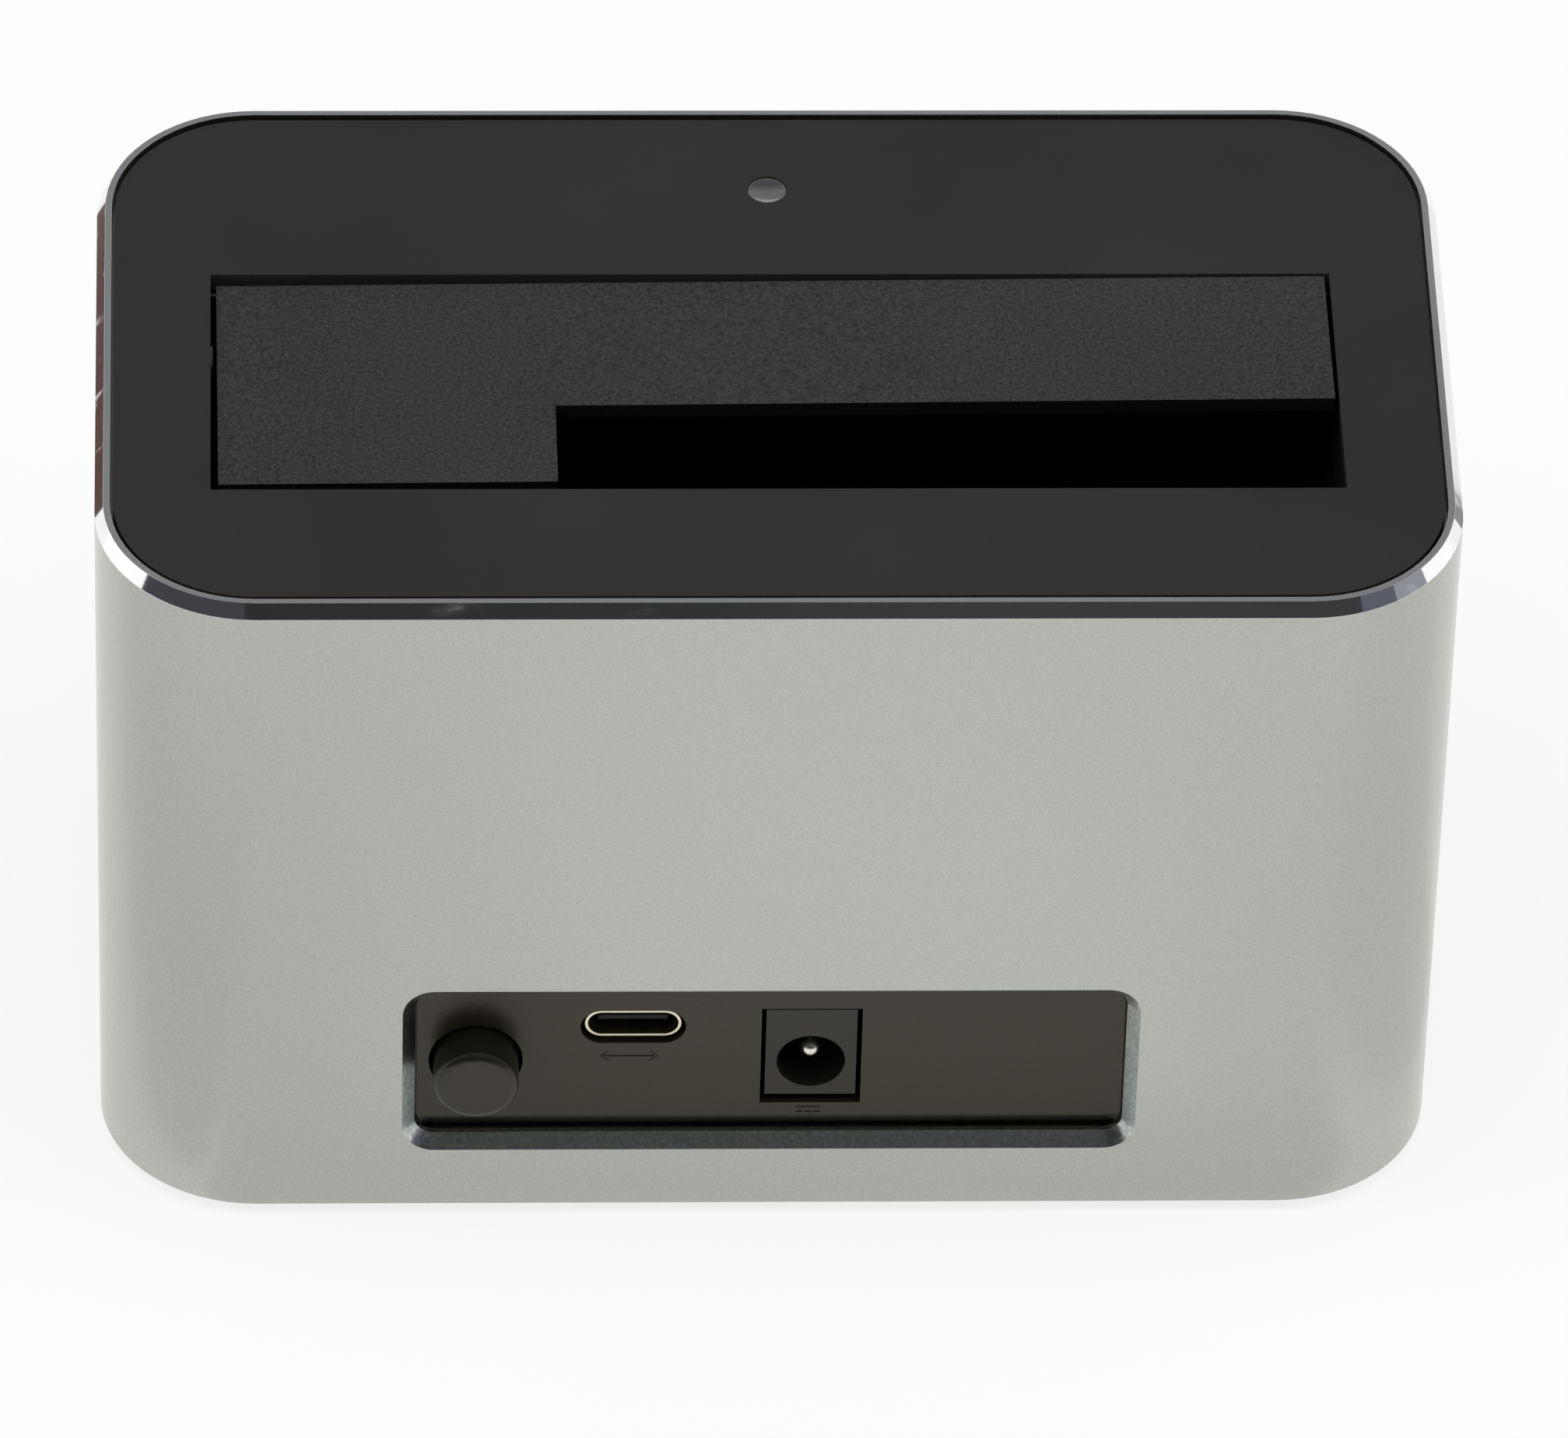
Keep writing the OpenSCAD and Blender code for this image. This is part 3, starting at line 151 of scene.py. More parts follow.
flatCards = {   # small flat cards close to the dock: one corner and its two sides
    "besideLeft": {"corner": (0.100, -0.101, 0.0495), "sides": ((0, 0.078, 0), (0, 0, 0.009)),
                   "colour": (0.105, 0.060, 0.052)},
    "besideRight": {"corner": (-0.100, -0.102, 0.046), "sides": ((0, 0.0675, 0), (0, 0, 0.011)),
                    "colour": (0.88, 0.88, 0.90)},
    "cornerRight": {"corner": (-0.100, -0.0345, 0.047), "sides": ((0, 0.0235, 0), (0, 0, 0.018)),
                    "colour": (0.29, 0.285, 0.28)},
    "floorNear": {"corner": (-0.060, 0.0345, 0.0007), "sides": ((0.114, 0, 0), (0, 0.014, 0)),
                  "colour": (0.80, 0.80, 0.785)},
    "floorLeft": {"corner": (0.056, 0.036, 0.0007), "sides": ((0.11, -0.05, 0), (0, 0.075, 0)),
                  "colour": (0.78, 0.78, 0.775)},
    "floorRight": {"corner": (-0.070, 0.0, 0.0007), "sides": ((-0.075, 0, 0), (0, 0.09, 0)),
                   "colour": (0.825, 0.825, 0.82)},
    "stepLeft": {"corner": (0.038, 0.0487, 0.0006), "sides": ((0.018, 0, 0), (0, 0.075, 0)),
                 "colour": (0.83, 0.83, 0.825)},
    "stepMiddle": {"corner": (0.018, 0.0487, 0.0006), "sides": ((0.020, 0, 0), (0, 0.075, 0)),
                   "colour": (0.90, 0.90, 0.895)},
    "stepRight": {"corner": (-0.070, 0.0487, 0.0006), "sides": ((0.030, 0, 0), (0, 0.075, 0)),
                  "colour": (0.88, 0.88, 0.875)},
}
ballDistance = 1.9   # metres
cardSteps = 12


def calc(tree, operation, first, second=0.0):
    node = tree.nodes.new("ShaderNodeMath")
    node.operation = operation
    for index, value in enumerate((first, second)):
        if isinstance(value, (int, float)):
            node.inputs[index].default_value = value
        else:
            tree.links.new(value, node.inputs[index])
    return node.outputs[0]


def seenRays(tree):   # 1 for what the camera sees, straight or in metal and glass
    path = tree.nodes.new("ShaderNodeLightPath").outputs
    mirrored = calc(tree, "MAXIMUM", path["Is Glossy Ray"], path["Is Transmission Ray"])
    return calc(tree, "MAXIMUM", path["Is Camera Ray"], mirrored)


def buildWorld(ambient):
    world = bpy.data.worlds.new("studioWorld")
    scene.world = world
    world.use_nodes = True
    tree = world.node_tree
    tree.nodes.clear()
    out = tree.nodes.new("ShaderNodeOutputWorld")
    mix = tree.nodes.new("ShaderNodeMixShader")
    fill = tree.nodes.new("ShaderNodeBackground")
    fill.inputs["Strength"].default_value = ambient
    white = tree.nodes.new("ShaderNodeBackground")
    white.inputs["Strength"].default_value = 1.0
    tree.links.new(seenRays(tree), mix.inputs["Fac"])
    tree.links.new(fill.outputs[0], mix.inputs[1])
    tree.links.new(white.outputs[0], mix.inputs[2])
    tree.links.new(mix.outputs[0], out.inputs["Surface"])


def buildFloor(spec):
    half = spec["floorSize"] / 2
    mesh = bpy.data.meshes.new("studioFloor")
    level = -spec["floorDrop"]
    corners = [(-half, -half, level), (half, -half, level), (half, half, level), (-half, half, level)]
    mesh.from_pydata(corners, [], [(0, 1, 2, 3)])
    floor = bpy.data.objects.new("studioFloor", mesh)
    scene.collection.objects.link(floor)
    pale = bpy.data.materials.new("paleFloor")
    pale.use_nodes = True
    tree = pale.node_tree
    shader = tree.nodes["Principled BSDF"]
    shader.inputs["Base Color"].default_value = (*spec["floorColour"], 1)
    shader.inputs["Roughness"].default_value = spec["floorRough"]
    shader.inputs["Specular IOR Level"].default_value = spec["floorGloss"]
    glow = tree.nodes.new("ShaderNodeEmission")
    mix = tree.nodes.new("ShaderNodeMixShader")
    tree.links.new(calc(tree, "MULTIPLY", seenRays(tree), spec["floorGlow"]), mix.inputs["Fac"])
    tree.links.new(shader.outputs[0], mix.inputs[1])
    tree.links.new(glow.outputs[0], mix.inputs[2])
    clear = tree.nodes.new("ShaderNodeBsdfTransparent")
    under = tree.nodes.new("ShaderNodeMixShader")   # clear from below, so that the base can be looked at
    tree.links.new(tree.nodes.new("ShaderNodeNewGeometry").outputs["Backfacing"], under.inputs["Fac"])
    tree.links.new(mix.outputs[0], under.inputs[1])
    tree.links.new(clear.outputs[0], under.inputs[2])
    tree.links.new(under.outputs[0], tree.nodes["Material Output"].inputs["Surface"])
    mesh.materials.append(pale)


def buildLamp(name, spec, target):
    data = bpy.data.lights.new(name, "AREA")
    data.shape = "RECTANGLE"
    data.size, data.size_y = spec["size"]
    data.energy = spec["watts"]
    lamp = bpy.data.objects.new(name, data)
    aim = (Vector(target) - Vector(spec["at"])).to_track_quat("-Z", "Y").to_matrix().to_4x4()
    lamp.matrix_world = Matrix.Translation(spec["at"]) @ aim
    lamp.visible_glossy = False   # the cards give the reflections
    scene.collection.objects.link(lamp)


def cardPoint(spec, across, up):
    if "corner" in spec:
        first, second = spec["sides"]
        return Vector(spec["corner"]) + across * Vector(first) + up * Vector(second)
    turn = spec["turns"][0] + (spec["turns"][1] - spec["turns"][0]) * across
    rise = spec["rises"][0] + (spec["rises"][1] - spec["rises"][0]) * up
    return spec.get("distance", ballDistance) * heading(turn, rise)


def buildCard(name, spec):
    row = cardSteps + 1
    points, faces = [], []
    for i in range(row):
        for j in range(row):
            points.append(cardPoint(spec, i / cardSteps, j / cardSteps))
    for i in range(cardSteps):
        for j in range(cardSteps):
            first = i * row + j
            faces.append((first, first + 1, first + row + 1, first + row))
    mesh = bpy.data.meshes.new(name + "Card")
    mesh.from_pydata(points, [], faces)
    card = bpy.data.objects.new(name + "Card", mesh)
    scene.collection.objects.link(card)
    tone = bpy.data.materials.new(name + "Tone")
    tone.use_nodes = True
    tree = tone.node_tree
    tree.nodes.clear()
    out = tree.nodes.new("ShaderNodeOutputMaterial")
    glow = tree.nodes.new("ShaderNodeEmission")
    glow.inputs["Color"].default_value = (*spec["colour"], 1)
    tree.links.new(glow.outputs[0], out.inputs["Surface"])
    mesh.materials.append(tone)
    card.visible_camera = False
    card.visible_diffuse = False
    card.visible_shadow = False
    card.visible_transmission = False


buildWorld(studio["ambient"])
buildFloor(studio)
for lampName, lampSpec in studio["lamps"].items():
    buildLamp(lampName, lampSpec, studio["aim"])
for cardName, cardSpec in (ballCards | flatCards).items():
    buildCard(cardName, cardSpec)
print("studio built:", len(studio["lamps"]), "lamps,", len(ballCards) + len(flatCards), "cards")


# finishes: small helpers, then one look for each material of the dock
usual = {   # what holds where a look says nothing; the depth is in metres
    "cloud": 42.0, "fineShare": 0.6, "stretch": (1, 1, 1), "coatRough": 0.2, "depth": 0.00003,
}


def startFinish(name):
    material = bpy.data.materials.new(name)
    material.use_nodes = True
    tree = material.node_tree
    coords = tree.nodes.new("ShaderNodeTexCoord")
    return material, tree, tree.nodes["Principled BSDF"], coords.outputs["Object"]


def grain(tree, coords, scale, detail=2.0, stretch=(1, 1, 1)):
    mapping = tree.nodes.new("ShaderNodeMapping")
    mapping.inputs["Scale"].default_value = stretch
    tree.links.new(coords, mapping.inputs["Vector"])
    noise = tree.nodes.new("ShaderNodeTexNoise")
    noise.inputs["Scale"].default_value = scale
    noise.inputs["Detail"].default_value = detail
    tree.links.new(mapping.outputs["Vector"], noise.inputs["Vector"])
    return noise.outputs["Fac"]


def spread(tree, value, low, high, start=0.3, stop=0.7):
    ranged = tree.nodes.new("ShaderNodeMapRange")
    ranged.inputs["From Min"].default_value = start
    ranged.inputs["From Max"].default_value = stop
    ranged.inputs["To Min"].default_value = low
    ranged.inputs["To Max"].default_value = high
    tree.links.new(value, ranged.inputs["Value"])
    return ranged.outputs["Result"]


def blendColours(tree, factor, first, second):
    mix = tree.nodes.new("ShaderNodeMix")
    mix.data_type = "RGBA"
    tree.links.new(factor, mix.inputs["Factor"])
    for letter, colour in (("A", first), ("B", second)):
        socket = [s for s in mix.inputs if s.name == letter and s.type == "RGBA"][0]
        if isinstance(colour, tuple):
            socket.default_value = (*colour, 1)
        else:
            tree.links.new(colour, socket)
    return [s for s in mix.outputs if s.type == "RGBA"][0]


def relief(tree, shader, height, strength, depth):
    bump = tree.nodes.new("ShaderNodeBump")
    bump.inputs["Strength"].default_value = strength
    bump.inputs["Distance"].default_value = depth
    tree.links.new(height, bump.inputs["Height"])
    tree.links.new(bump.outputs["Normal"], shader.inputs["Normal"])


def specks(tree, coords, spec):
    mapping = tree.nodes.new("ShaderNodeMapping")
    mapping.inputs["Scale"].default_value = spec.get("stretch", (1, 1, 1))
    tree.links.new(coords, mapping.inputs["Vector"])
    cells = tree.nodes.new("ShaderNodeTexVoronoi")
    cells.inputs["Scale"].default_value = spec["scale"]
    tree.links.new(mapping.outputs["Vector"], cells.inputs["Vector"])
    near = calc(tree, "LESS_THAN", cells.outputs["Distance"], spec["size"])
    tone = tree.nodes.new("ShaderNodeSeparateColor")
    tree.links.new(cells.outputs["Color"], tone.inputs["Color"])
    chosen = calc(tree, "LESS_THAN", tone.outputs["Red"], spec["share"])
    return calc(tree, "MULTIPLY", near, chosen)


def finish(name, look):
    spec = {**usual, **look}
    material, tree, shader, coords = startFinish(name)
    fine = grain(tree, coords, spec["grain"], stretch=spec["stretch"])
    cloud = grain(tree, coords, spec["cloud"], detail=3.0)
    fineShare = spec["fineShare"]
    finePart = calc(tree, "MULTIPLY", fine, fineShare)
    cloudPart = calc(tree, "MULTIPLY", cloud, 1 - fineShare)
    tone = calc(tree, "ADD", finePart, cloudPart)
    colour = blendColours(tree, spread(tree, tone, 0, 1), spec["dark"], spec["light"])
    rough = spread(tree, cloud, *spec["rough"])
    if "paintedShade" in spec:   # painted shade: darker towards the front, standing in for the pipe's dark inner wall seen through the clear top
        place = tree.nodes.new("ShaderNodeSeparateXYZ")
        tree.links.new(coords, place.inputs[0])
        paintedShade = spread(tree, place.outputs["Y"], 0, 1, spec["paintedShade"]["from"], spec["paintedShade"]["to"])
        colour = blendColours(tree, paintedShade, spec["paintedShade"]["colour"], colour)
    if "marks" in spec:   # dust, nicks or scuffs
        dots = specks(tree, coords, spec["marks"])
        colour = blendColours(tree, dots, colour, spec["marks"]["colour"])
        rough = calc(tree, "ADD", rough, calc(tree, "MULTIPLY", dots, spec["marks"].get("dulls", 0.0)))
    if "smears" in spec:   # patches dulled by handling
        smears = spec["smears"]
        wiped = grain(tree, coords, smears["scale"], detail=6.0, stretch=smears["stretch"])
        dulled = spread(tree, wiped, 0, smears["dulls"], smears["from"], smears["to"])
        rough = calc(tree, "ADD", rough, dulled)
    tree.links.new(colour, shader.inputs["Base Color"])
    tree.links.new(rough, shader.inputs["Roughness"])
    shader.inputs["Metallic"].default_value = 1.0 if spec.get("metal") else 0.0
    if "gloss" in spec:
        shader.inputs["Specular IOR Level"].default_value = spec["gloss"]
    if "tint" in spec:
        shader.inputs["Specular Tint"].default_value = (*spec["tint"], 1)
    if "coat" in spec:
        shader.inputs["Coat Weight"].default_value = spec["coat"]
        shader.inputs["Coat Roughness"].default_value = spec["coatRough"]
    relief(tree, shader, fine, spec["bump"], spec["depth"])
    return material


looks = {
    "blastedAluminium": {
        "metal": True, "dark": (0.448, 0.469, 0.427), "light": (0.532, 0.553, 0.507), "grain": 4600.0,
        "cloud": 24.0, "fineShare": 0.8, "rough": (0.42, 0.48), "bump": 0.16, "coat": 1.0,
        "tint": (0.80, 0.77, 0.73),
        "marks": {"scale": 34.0, "stretch": (3.2, 1, 1), "share": 0.006, "size": 0.055,
                  "colour": (0.21, 0.21, 0.21)},
    },
    "polishedChamfer": {
        "metal": True, "dark": (0.86, 0.865, 0.875), "light": (0.95, 0.95, 0.955), "grain": 700.0,
        "cloud": 26.0, "fineShare": 0.25, "stretch": (0.3, 1, 1), "rough": (0.045, 0.12), "bump": 0.05,
        "smears": {"scale": 320.0, "stretch": (0.35, 1.2, 1.2), "from": 0.61, "to": 0.75, "dulls": 0.30},
    },
    "rimTop": {
        "metal": True, "dark": (0.70, 0.74, 0.74), "light": (0.82, 0.86, 0.86), "grain": 4200.0,
        "cloud": 30.0, "fineShare": 0.5, "rough": (0.20, 0.30), "bump": 0.10,
    },
    "satinChamfer": {
        "metal": True, "dark": (0.40, 0.43, 0.41), "light": (0.66, 0.69, 0.67), "grain": 2600.0,
        "cloud": 60.0, "fineShare": 0.85, "rough": (0.22, 0.30), "bump": 0.5,
    },
    # painted shade: a darker copy of the satin chamfer for the window's side chamfers
    "satinSidePaintedShade": {
        "metal": True, "dark": (0.30, 0.33, 0.315), "light": (0.46, 0.49, 0.475), "grain": 2600.0,
        "cloud": 60.0, "fineShare": 0.85, "rough": (0.22, 0.30), "bump": 0.5,
    },
    # painted shade: the recess below the panel's raised face, darker than the panel
    "panelRecessPaintedShade": {
        "dark": (0.0030, 0.0028, 0.0026), "light": (0.0050, 0.0047, 0.0043), "grain": 2600.0, "cloud": 40.0,
        "rough": (0.60, 0.70), "gloss": 0.15, "bump": 0.1,
    },
    "rod_steel": {
        "metal": True, "dark": (0.42, 0.42, 0.43), "light": (0.58, 0.58, 0.59), "grain": 1800.0,
        "stretch": (1, 8, 8), "rough": (0.22, 0.34), "bump": 0.05,
    },
    "spring_steel": {
        "metal": True, "dark": (0.48, 0.48, 0.49), "light": (0.64, 0.64, 0.65), "grain": 2600.0,
        "rough": (0.20, 0.32), "bump": 0.04,
    },
    "contact_gold": {
        "metal": True, "dark": (0.72, 0.52, 0.18), "light": (0.88, 0.68, 0.30), "grain": 3000.0,
        "rough": (0.18, 0.28), "bump": 0.03,
    },
    "shell_steel": {
        "metal": True, "dark": (0.66, 0.59, 0.45), "light": (0.82, 0.74, 0.58), "grain": 2400.0,
        "stretch": (1, 0.15, 1), "rough": (0.20, 0.32), "bump": 0.06,
    },
    "pin_metal": {
        "metal": True, "dark": (0.72, 0.68, 0.58), "light": (0.86, 0.82, 0.72), "grain": 2200.0,
        "rough": (0.16, 0.26), "bump": 0.03,
    },
    "terminal_metal": {
        "metal": True, "dark": (0.58, 0.57, 0.54), "light": (0.74, 0.73, 0.69), "grain": 1800.0,
        "rough": (0.28, 0.42), "bump": 0.08,
    },
    "can_metal": {
        "metal": True, "dark": (0.56, 0.56, 0.58), "light": (0.72, 0.72, 0.74), "grain": 2000.0,
        "rough": (0.24, 0.36), "bump": 0.05,
    },
    "screw_zinc": {
        "metal": True, "dark": (0.44, 0.44, 0.45), "light": (0.62, 0.62, 0.64), "grain": 1700.0,
        "rough": (0.26, 0.40), "bump": 0.08,
    },
    "screw_black": {
        "metal": True, "dark": (0.035, 0.035, 0.038), "light": (0.07, 0.07, 0.075), "grain": 1700.0,
        "rough": (0.34, 0.48), "bump": 0.08,
    },
    "cover_plastic": {
        "dark": (0.0222, 0.0196, 0.0192), "light": (0.0310, 0.0276, 0.0268), "grain": 5200.0,
        "fineShare": 0.4, "rough": (0.42, 0.52), "gloss": 0.24, "bump": 0.10,
        "marks": {"scale": 150.0, "share": 0.022, "size": 0.055, "colour": (0.0874, 0.0827, 0.0763),
                  "dulls": 0.2},
    },
    "flap_plastic": {
        "dark": (0.0155, 0.0144, 0.0152), "light": (0.0508, 0.0474, 0.0488), "grain": 3000.0,
        "fineShare": 0.85, "rough": (0.40, 0.52), "gloss": 0.28, "bump": 0.7,
        "marks": {"scale": 150.0, "share": 0.02, "size": 0.05, "colour": (0.1113, 0.1081, 0.1049),
                  "dulls": 0.2},
    },
    # smooth cut edges of the flap; their darker colour is painted shade
    "flapEdgePaintedShade": {
        "dark": (0.0048, 0.0048, 0.0051), "light": (0.0083, 0.0083, 0.0087), "grain": 2600.0,
        "rough": (0.50, 0.62), "gloss": 0.16, "bump": 0.15,
    },
    "bay_plastic": {
        "dark": (0.0063, 0.0063, 0.0066), "light": (0.0126, 0.0126, 0.0132), "grain": 2400.0,
        "rough": (0.50, 0.62), "gloss": 0.2, "bump": 0.12,
    },
    "base_plastic": {
        "dark": (0.0168, 0.0168, 0.0175), "light": (0.0336, 0.0336, 0.0350), "grain": 2600.0,
        "rough": (0.50, 0.62), "gloss": 0.3, "bump": 0.4,
    },
    "panel_plastic": {
        "dark": (0.0080, 0.0064, 0.0036), "light": (0.0156, 0.0124, 0.0074), "grain": 3000.0,
        "rough": (0.26, 0.36), "gloss": 0.58, "tint": (1.0, 0.92, 0.76), "bump": 0.34,
        "marks": {"scale": 190.0, "share": 0.012, "size": 0.05, "colour": (0.1272, 0.1192, 0.1034),
                  "dulls": 0.2},
    },
    "button_plastic": {
        "dark": (0.0083, 0.0070, 0.0051), "light": (0.0124, 0.0105, 0.0080), "grain": 4200.0,
        "fineShare": 0.5, "rough": (0.27, 0.35), "gloss": 0.55, "tint": (1.0, 0.92, 0.81), "bump": 0.14,
    },
    "foot_rubber": {
        "dark": (0.0140, 0.0140, 0.0140), "light": (0.0280, 0.0280, 0.0280), "grain": 1500.0,
        "rough": (0.72, 0.86), "gloss": 0.25, "bump": 0.3,
    },
    "board_green": {
        "dark": (0.010, 0.055, 0.024), "light": (0.018, 0.085, 0.038), "grain": 500.0,
        "rough": (0.28, 0.40), "gloss": 0.45, "bump": 0.06,
    },
    # black plastic made darker than the socket's: painted shade inside the shell
    "tonguePlasticPaintedShade": {
        "dark": (0.0034, 0.0032, 0.0034), "light": (0.0056, 0.0055, 0.0059), "grain": 3600.0,
        "rough": (0.36, 0.46), "gloss": 0.30, "bump": 0.10,
    },
    "socket_black": {
        "dark": (0.0076, 0.0064, 0.0045), "light": (0.0114, 0.0095, 0.0070), "grain": 3600.0,
        "rough": (0.33, 0.43), "gloss": 0.54, "tint": (1.0, 0.93, 0.82), "bump": 0.12,
    },
    "plunger_plastic": {
        "dark": (0.60, 0.585, 0.54), "light": (0.68, 0.665, 0.62), "grain": 2000.0,
        "rough": (0.38, 0.50), "gloss": 0.45, "bump": 0.06,
    },
    "chip_black": {
        "dark": (0.0168, 0.0168, 0.0182), "light": (0.0308, 0.0308, 0.0336), "grain": 2600.0,
        "rough": (0.50, 0.62), "gloss": 0.35, "bump": 0.2,
    },
    "choke_grey": {
        "dark": (0.0490, 0.0490, 0.0518), "light": (0.0840, 0.0840, 0.0882), "grain": 1800.0,
        "rough": (0.55, 0.68), "gloss": 0.35, "bump": 0.25,
    },
    "lens_plastic": {
        "dark": (0.102, 0.099, 0.107), "light": (0.130, 0.127, 0.135), "grain": 1400.0, "fineShare": 0.4,
        "rough": (0.08, 0.14), "gloss": 0.6, "bump": 0.02, "coat": 1.0, "coatRough": 0.06,
        # painted shade: the front of the lens darkened in colour
        "paintedShade": {"from": -0.0252, "to": -0.0243, "colour": (0.046, 0.045, 0.049)},
    },
    # painted highlight: the lens's rim made lighter than the lens
    "lensRimPaintedHighlight": {
        "dark": (0.105, 0.103, 0.110), "light": (0.145, 0.142, 0.150), "grain": 1400.0,
        "rough": (0.15, 0.22), "gloss": 0.6, "bump": 0.03,
    },
    "lamp_plastic": {
        "dark": (0.66, 0.66, 0.60), "light": (0.76, 0.76, 0.70), "grain": 900.0,
        "rough": (0.12, 0.20), "gloss": 0.5, "bump": 0.02,
    },
    "header_plastic": {
        "dark": (0.62, 0.58, 0.48), "light": (0.70, 0.66, 0.56), "grain": 1800.0,
        "rough": (0.36, 0.48), "gloss": 0.45, "bump": 0.06,
    },
    "lead_plastic": {
        "dark": (0.26, 0.012, 0.012), "light": (0.34, 0.020, 0.018), "grain": 1200.0,
        "rough": (0.32, 0.44), "gloss": 0.45, "bump": 0.06,
    },
}
finishes = {name: finish(name, spec) for name, spec in looks.items()}
finishes["sleeve_metal"] = finishes["blastedAluminium"]
slotOf = {part["node"]: part["material_slot"] for part in frame["record"]["subparts"]}
for nodeName, node in nodes.items():
    for place in node.material_slots:
        place.material = finishes[slotOf[nodeName]]
print("finishes made:", len(looks))


# a welded copy of a CAD node, with its sharp edges eased by a small bevel
softening = {"weld": 2e-6, "flatUnder": 0.4, "sharpOver": 24.0}   # metres, degrees, degrees
softened = []


def softenNode(nodeName, width, segments=2, looksUsed=None, pickLook=None, reshape=None):
    source = nodes[nodeName]
    work = bmesh.new()
    points = [work.verts.new(v.co) for v in source.data.vertices]
    for face in source.data.polygons:
        work.faces.new([points[i] for i in face.vertices])
    bmesh.ops.remove_doubles(work, verts=work.verts, dist=softening["weld"])
    flat = math.radians(softening["flatUnder"])
    bmesh.ops.dissolve_limit(work, angle_limit=flat, verts=work.verts, edges=work.edges)
    if reshape:
        reshape(work)
    weight = work.edges.layers.float.new("bevel_weight_edge")
    sharp = math.radians(softening["sharpOver"])
    for edge in work.edges:
        if len(edge.link_faces) == 2 and edge.calc_face_angle(0.0) > sharp:
            edge[weight] = 1.0
    for face in work.faces:
        face.smooth = True
    mesh = bpy.data.meshes.new(nodeName + "Rough")
    work.to_mesh(mesh)
    work.free()
    piece = bpy.data.objects.new(nodeName + "Soft", mesh)
    scene.collection.objects.link(piece)
    rounding = piece.modifiers.new("edges", "BEVEL")
    rounding.width = width * mm
    rounding.segments = segments
    rounding.limit_method = "WEIGHT"
    rounding.use_clamp_overlap = True
    weighing = piece.modifiers.new("normals", "WEIGHTED_NORMAL")
    weighing.keep_sharp = True
    graph = bpy.context.evaluated_depsgraph_get()
    finished = bpy.data.meshes.new_from_object(piece.evaluated_get(graph))
    piece.modifiers.clear()
    piece.data = finished
    bpy.data.meshes.remove(mesh)
    finished.name = nodeName + "Soft"
    for look in looksUsed or [slotOf[nodeName]]:
        finished.materials.append(finishes[look])
    if pickLook:
        for face in finished.polygons:
            face.material_index = looksUsed.index(pickLook(face))
    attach(piece, source["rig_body"])
    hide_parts(nodeName)
    softened.append(piece)


# sleeve: blasted all over, polished on the rim's chamfer, satin round the window, its side chamfers painted
# darker as shade
sleeve = {
    "easing": 0.035, "slack": 0.05, "rimChamfer": 1.35, "wall": 2.2, "skin": 0.02,   # mm
    "windowWidth": 68.0, "windowTop": 30.0,
    "looks": ["blastedAluminium", "polishedChamfer", "rimTop", "satinChamfer", "satinSidePaintedShade"],
}
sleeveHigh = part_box("aluminium_sleeve")[1]


def sleeveLook(face):
    normal, centre = face.normal, face.center
    belowRim = (sleeveHigh.z - centre.z) / mm
    facesUp = normal.z > 0.95
    if belowRim < sleeve["rimChamfer"] + sleeve["slack"] and normal.z > 0.3 and not facesUp:
        return "polishedChamfer"
    if belowRim < sleeve["slack"] and facesUp:
        return "rimTop"
    atWindow = abs(centre.x) < sleeve["windowWidth"] / 2 * mm and centre.z < sleeve["windowTop"] * mm
    inWall = sleeve["skin"] < (sleeveHigh.y - centre.y) / mm < sleeve["wall"]
    if atWindow and inWall and normal.y > -0.3:
        # sideways faces get the darker copy, painted shade
        facesAcross = abs(normal.x) > 0.55 and abs(normal.z) < 0.1
        return "satinSidePaintedShade" if facesAcross else "satinChamfer"
    return "blastedAluminium"


softenNode("aluminium_sleeve", sleeve["easing"], pickLook=sleeveLook, looksUsed=sleeve["looks"])

# port panel: its raised face rolls away along the foot, crisp cut-outs, the recess below painted dark as
# shade
panel = {
    "easing": 0.06, "foot": 9.75, "slope": 1.2, "slopeDeep": 0.6, "rollFrom": 12.0, "rollSteps": 10,
    "recessUpTo": 0.1, "slack": 0.01,   # mm, as the rest
    "looks": ["panel_plastic", "panelRecessPaintedShade"],
}
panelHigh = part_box("port_panel")[1]


def rollPanelFoot(work):
    foot, start = panel["foot"] * mm, panel["rollFrom"] * mm
    deep, edge = panel["slopeDeep"] * mm, (panel["foot"] + panel["slope"]) * mm
    for k in range(1, panel["rollSteps"] + 1):
        level = foot + (start - foot) * k / panel["rollSteps"]
        whole = work.verts[:] + work.edges[:] + work.faces[:]
        bmesh.ops.bisect_plane(work, geom=whole, plane_co=(0, 0, level), plane_no=(0, 0, 1), dist=tiny)
    for vert in work.verts:
        if foot - 10 * tiny < vert.co.z < start:
            plain = panelHigh.y - deep * max(0.0, edge - vert.co.z) / (edge - foot)
            if abs(vert.co.y - plain) < panel["slack"] * mm:
                vert.co.y = panelHigh.y - deep * ((start - vert.co.z) / (start - foot)) ** 2


def panelLook(face):   # the recess below the raised face is matt and painted darker as shade
    inRecess = face.center.z < (panel["foot"] + panel["recessUpTo"]) * mm
    return "panelRecessPaintedShade" if inRecess else "panel_plastic"


softenNode("port_panel", panel["easing"], reshape=rollPanelFoot, pickLook=panelLook,
           looksUsed=panel["looks"])

# lens: the light pipe with a dished top inside a fine rim; the rim is painted lighter as a highlight, the
# front painted darker as shade
lens = {
    "radius": 1.8, "flangeRadius": 2.7, "flangeTop": 74.0, "flangeDeep": 1.0,
    "rim": 0.14, "rimDeep": 0.06, "lip": 0.05, "dish": 0.3, "rings": 10, "proud": 0.18,
    "steps": 72, "sharpOver": 30.0,
}


